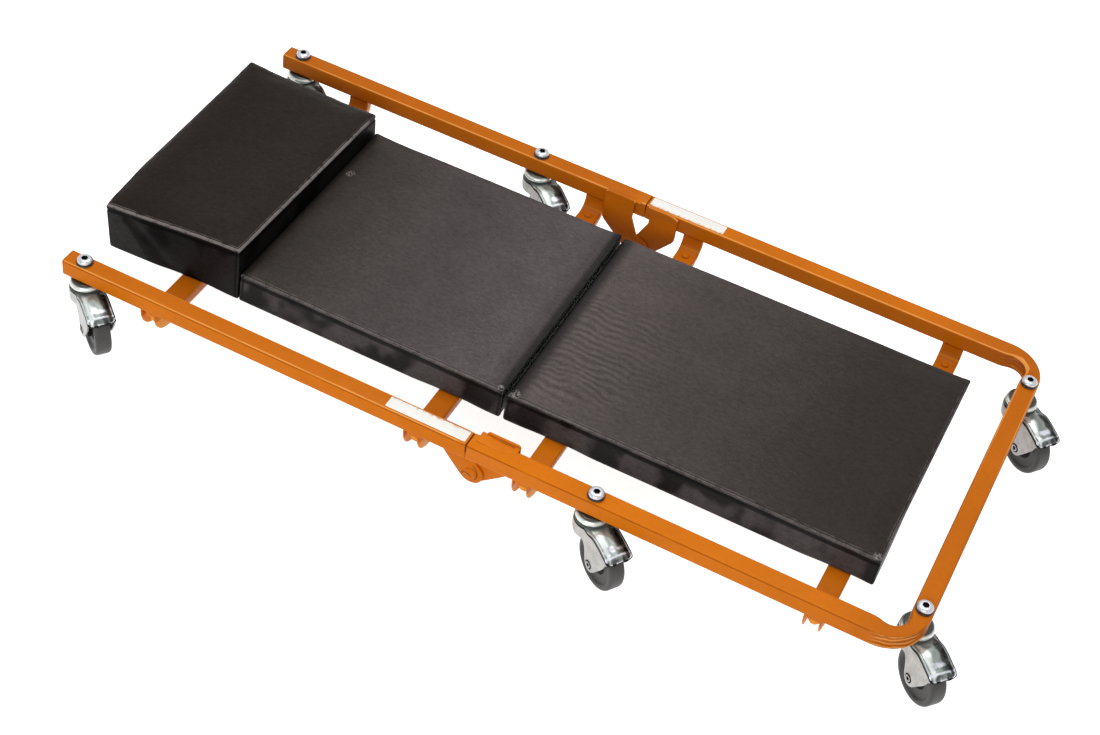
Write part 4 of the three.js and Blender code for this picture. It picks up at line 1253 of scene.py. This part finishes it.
def blown_cover(low, high):
    """Where the points of a plain cover go when air presses it out, by cloth simulation."""
    skin = box_grid([even_lines(a, b, AIR_CELL) for a, b in zip(low, high)])
    for i, point in enumerate(skin.points):
        core = edge_core(point, low, high)
        skin.points[i] = core + (point - core).normalized() * PAD_EDGE
    mesh = bpy.data.meshes.new("plain_cover")
    mesh.from_pydata([point * MM for point in skin.points], [], skin.faces)
    cover = added("plain_cover", mesh)
    scene = bpy.context.scene
    held = cover.vertex_groups.new(name="stapled_to_the_board")
    held.add([i for i, point in enumerate(skin.points) if point.z < low.z + 1], 1.0, "REPLACE")
    air = cover.modifiers.new("air", "CLOTH")
    air.settings.use_pressure = True
    air.settings.uniform_pressure_force = AIR_PRESSURE
    air.settings.effector_weights.gravity = 0
    air.settings.vertex_group_mass = held.name
    air.point_cache.frame_start = 1
    air.point_cache.frame_end = AIR_FRAMES
    for number in range(1, AIR_FRAMES + 1):
        scene.frame_set(number)
    pressed = cover.evaluated_get(bpy.context.evaluated_depsgraph_get())
    moves = [vertex.co / MM - point for vertex, point in zip(pressed.data.vertices, skin.points)]
    scene.frame_set(1)
    bpy.data.objects.remove(cover)
    bpy.data.meshes.remove(mesh)
    tree = kdtree.KDTree(len(skin.points))
    for i, point in enumerate(skin.points):
        tree.insert(point, i)
    tree.balance()

    def moved(point):
        total = Vector((0, 0, 0))
        weights = 0
        for _, i, distance in tree.find_n(point, 6):
            weight = 1 / (distance + 2) ** 2
            held_back = COVER_MOST * (1 - math.exp(-moves[i].length / COVER_MOST))
            total += moves[i].normalized() * held_back * weight
            weights += weight
        return total / weights
    return moved


def side_folds(name, x, y, z):
    """How far a long side is drawn in by its folds."""
    if name == "head_pad":
        slant = x + 452 - 1.1 * (HEAD_PAD_TOP - z)
        return 1.6 * bump_at(slant, 0, 16) * (y < 0) + 0.6 * cloud_at(x + z, z * 0.4, 5, 30)
    return 0.6 * cloud_at(x + z * 1.4, z * 0.5, 2, 36)


def bead_profile(over):
    """The cover's height over its plain form near the top edge, from the top inwards to down the side."""
    return (0.30 * bump_at(over, 4.3, 1.1) - 0.45 * bump_at(over, 2.9, 1.3)
            + 0.50 * bump_at(over, 0.2, 2.2) - 0.80 * bump_at(over, -4.6, 2.6))


def pad_surface(name, pad):
    start, stop = pad["ends"]
    top = pad["top"]
    low = Vector((start + pad["insets"][0], -PAD_HALF + SIDE_INSET, PAD_BOTTOM))
    high = Vector((stop - pad["insets"][1], PAD_HALF - SIDE_INSET, top - TOP_INSET))
    air = blown_cover(low, high)
    rim = 0.4
    board_start, board_stop = pad["board"]
    lines = [
        edge_lines(low.x, high.x, 6, (board_start, board_start - rim, board_stop, board_stop + rim)),
        edge_lines(low.y, high.y, 6, (-BOARD_HALF, -BOARD_HALF - rim, BOARD_HALF, BOARD_HALF + rim)),
        edge_lines(low.z, high.z, 5, (BOARD_TOP,)),
    ]
    centre = (low.x + high.x) / 2
    length = high.x - low.x
    depth = high.z - low.z

    def shaped(point):
        on_board = board_start <= point.x <= board_stop and abs(point.y) <= BOARD_HALF
        if on_board and point.z <= BOARD_TOP:
            return Vector((point.x, point.y, BOARD_TOP))
        core = edge_core(point, low, high)
        outward = (point - core).normalized()
        at = core + outward * PAD_EDGE
        up = (at.z - low.z) / depth
        hold = smooth(up / 0.3)
        along = (at.x - centre) / (length / 2)
        move = air(at) * hold
        move.x *= 0.3 * (pad["insets"][0] > 1 if along < 0 else pad["insets"][1] > 1)
        move.y *= 0.3

        inset = high.y - abs(point.y)
        weight = 1
        for gap, bead in ((point.x - low.x, pad["beads"][0]), (high.x - point.x, pad["beads"][1])):
            if bead and gap < inset:
                inset = gap
                weight = bead
        over = inset - (high.z - point.z)
        height = bead_profile(over) * weight
        if pad["insets"][1] < 1 and outward.x > 0.5 or pad["insets"][0] < 1 and outward.x < -0.5:
            height = min(height, 0)
        move += outward * height * hold

        # The cover stands out below the tube, draws in beside the far head wheel and sags between the bars
        foot_end = smooth((along - 0.9) / 0.1)
        sideways = smooth((abs(outward.y) - 0.6) / 0.4)
        drawn = 0.7 * (1 - along ** 4) * math.sin(math.pi * min(up, 1)) + 0.3 * (1 - along ** 2)
        wheel_room = smooth((-396 - at.x) / 26) * smooth((at.y - 60) / 30)
        tuck = (4.2 * wheel_room + 0.4) * (1 - min(up / 0.33, 1)) ** 2.2
        flare = 3.4 * (1 - wheel_room) * (1 - up) ** 1.3
        move.y += math.copysign(flare, at.y) * smooth((abs(at.y) - 100) / 30)
        move.y += (1 + at.y / high.y) * FAR_SIDE / 2 * smooth(up / 0.05)
        move.y -= pad["spread"] * smooth((0.8 - along) / 1.8) * smooth(-at.y / 120)
        from_bar = min(abs(abs(at.x) - FOLD_BAR_X), abs(abs(at.x) - OUTER_BAR_X))
        hanging = smooth((from_bar - 14) / 30) * smooth((-at.y - 131) / 3)
        move.z -= 1.5 * hanging * (1 - smooth(up / 0.5))
        folded = side_folds(name, at.x, at.y, at.z) * hold * smooth((top - at.z - 4) / 6)
        move.y -= math.copysign(sideways * (drawn + folded), at.y)
        move.y -= at.y * (tuck / (high.y - low.y) * 2)
        if name == "foot_pad" or name == "head_pad" and along <= 0:
            move.x -= math.copysign(tuck * smooth((abs(along) - 0.9) / 0.1), along)
        if name == "middle_pad":
            move.x += 0.004 * at.y * foot_end
        if name == "head_pad":
            corner_gap = math.hypot(at.x - low.x, at.y - low.y)
            near_corner = smooth((-at.y - 60) / 75) * smooth((-0.6 - along) / 0.4)
            move.x += near_corner * (3.5 + 5 * (1 - up))
            move.z -= 3.5 * max(1 - corner_gap / 14, 0) ** 1.6 * smooth((up - 0.3) / 0.7)

        # The top lies at the pad's tilt, a little uneven, and drops where the cover turns down at the fold
        level, rise, lean, twist = pad["tilt"]
        across = at.y / PAD_HALF
        move.z += (level + rise * along + lean * across + twist * along * across) * smooth((up - 0.25) / 0.75)
        lying = smooth((up - 0.9) / 0.06) * smooth((outward.z - 0.6) / 0.4)
        move.z += lying * (0.5 * cloud_at(at.x, at.y, 6.3, 80) + 0.15 * cloud_at(at.x, at.y, 8.1, 18))
        if name == "middle_pad":
            move.z -= 1.3 * bump_at(math.hypot(at.x + 295, at.y - 64), 0, 11) * lying
        move.z -= pad["soft_start"] * (1 - smooth((at.x - low.x) / 11)) * smooth((up - 0.6) / 0.4)
        far_share = 0.1 + 0.9 * smooth((at.y + 140) / 180)
        move.x -= pad["undercut"] * foot_end * (1 - up) * far_share
        return at + move

    return box_grid(lines).shifted(shaped)


for name, pad in PADS.items():
    cushion = make(f"{name}_cushion", pad_surface(name, pad), [black_vinyl(name, pad)], pad["body"],
                   [name], sharp=180, levels=1)

for name in ("head_board", "foot_board"):
    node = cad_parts[name]
    node.data.materials.clear()
    node.data.materials.append(WOOD)


# Floor, light and camera
FLOOR_WHITE = 0.86
WORLD_LIGHT = 0.42
PHOTO_WIDTH = 1100
FOCAL_PIXELS = 1958.134
SENSOR_WIDTH = 36


def floor():
    ground = Finish("studio_floor", Base_Color=(FLOOR_WHITE, FLOOR_WHITE, FLOOR_WHITE, 1), Roughness=0.9,
                    Specular_IOR_Level=0.2)
    plain = Wire(ground, ground.shader.outputs[0])
    glow = ground.node("ShaderNodeEmission", {}, {"Strength": FLOOR_WHITE})
    ground.show("Material Output", plain, ground.node("ShaderNodeAddShader", {}, {0: plain, 1: glow}))
    mesh = bpy.data.meshes.new("studio_floor")
    reach = 40.0
    mesh.from_pydata([(-reach, -reach, 0), (reach, -reach, 0), (reach, reach, 0), (-reach, reach, 0)],
                     [], [(0, 1, 2, 3)])
    mesh.materials.append(ground.material)
    added("studio_floor", mesh)


def studio_world():
    world = bpy.data.worlds.new("studio")
    bpy.context.scene.world = world
    world.use_nodes = True
    nodes = Nodes(world.node_tree)
    white = (1, 1, 1, 1)
    light, seen = (nodes.node("ShaderNodeBackground", {}, {"Color": white, "Strength": strength})
                   for strength in (WORLD_LIGHT, 1.0))
    nodes.show("World Output", light, seen)


def softbox(name, place, target, size, power):
    light = bpy.data.lights.new(name, "AREA")
    light.shape = "RECTANGLE"
    light.size, light.size_y = size
    light.energy = power
    lamp = added(name, light)
    lamp.location = place
    lamp.rotation_euler = (Vector(target) - Vector(place)).to_track_quat("-Z", "Y").to_euler()


def camera():
    eye = spot(955.007 - HEAD_LENGTH, -1383.113, 1390.349 + RAIL_TOP)
    target = spot(488.896 - HEAD_LENGTH, -82.465, RAIL_TOP)
    roll = 0.167
    ahead = (target - eye).normalized()
    right = ahead.cross(Vector((0, 0, 1))).normalized()
    above = right.cross(ahead)
    turned_right = right * math.cos(roll) + above * math.sin(roll)
    turned_above = -right * math.sin(roll) + above * math.cos(roll)
    data = bpy.data.cameras.new("photo_camera")
    data.sensor_width = SENSOR_WIDTH
    data.lens = FOCAL_PIXELS / PHOTO_WIDTH * SENSOR_WIDTH
    data.clip_end = 200
    viewer = added("photo_camera", data)
    axes = Matrix((turned_right, turned_above, -ahead)).transposed().to_4x4()
    viewer.matrix_world = Matrix.Translation(eye) @ axes
    bpy.context.scene.camera = viewer


floor()
studio_world()
softbox("overhead_softbox", (-0.3, 0.5, 2.6), (0, 0, 0), (2.4, 1.8), 34)
softbox("near_softbox", (0.4, -2.6, 1.5), (0, 0, 0.05), (2.2, 1.2), 30)
camera()
bpy.context.scene.view_settings.view_transform = "Standard"
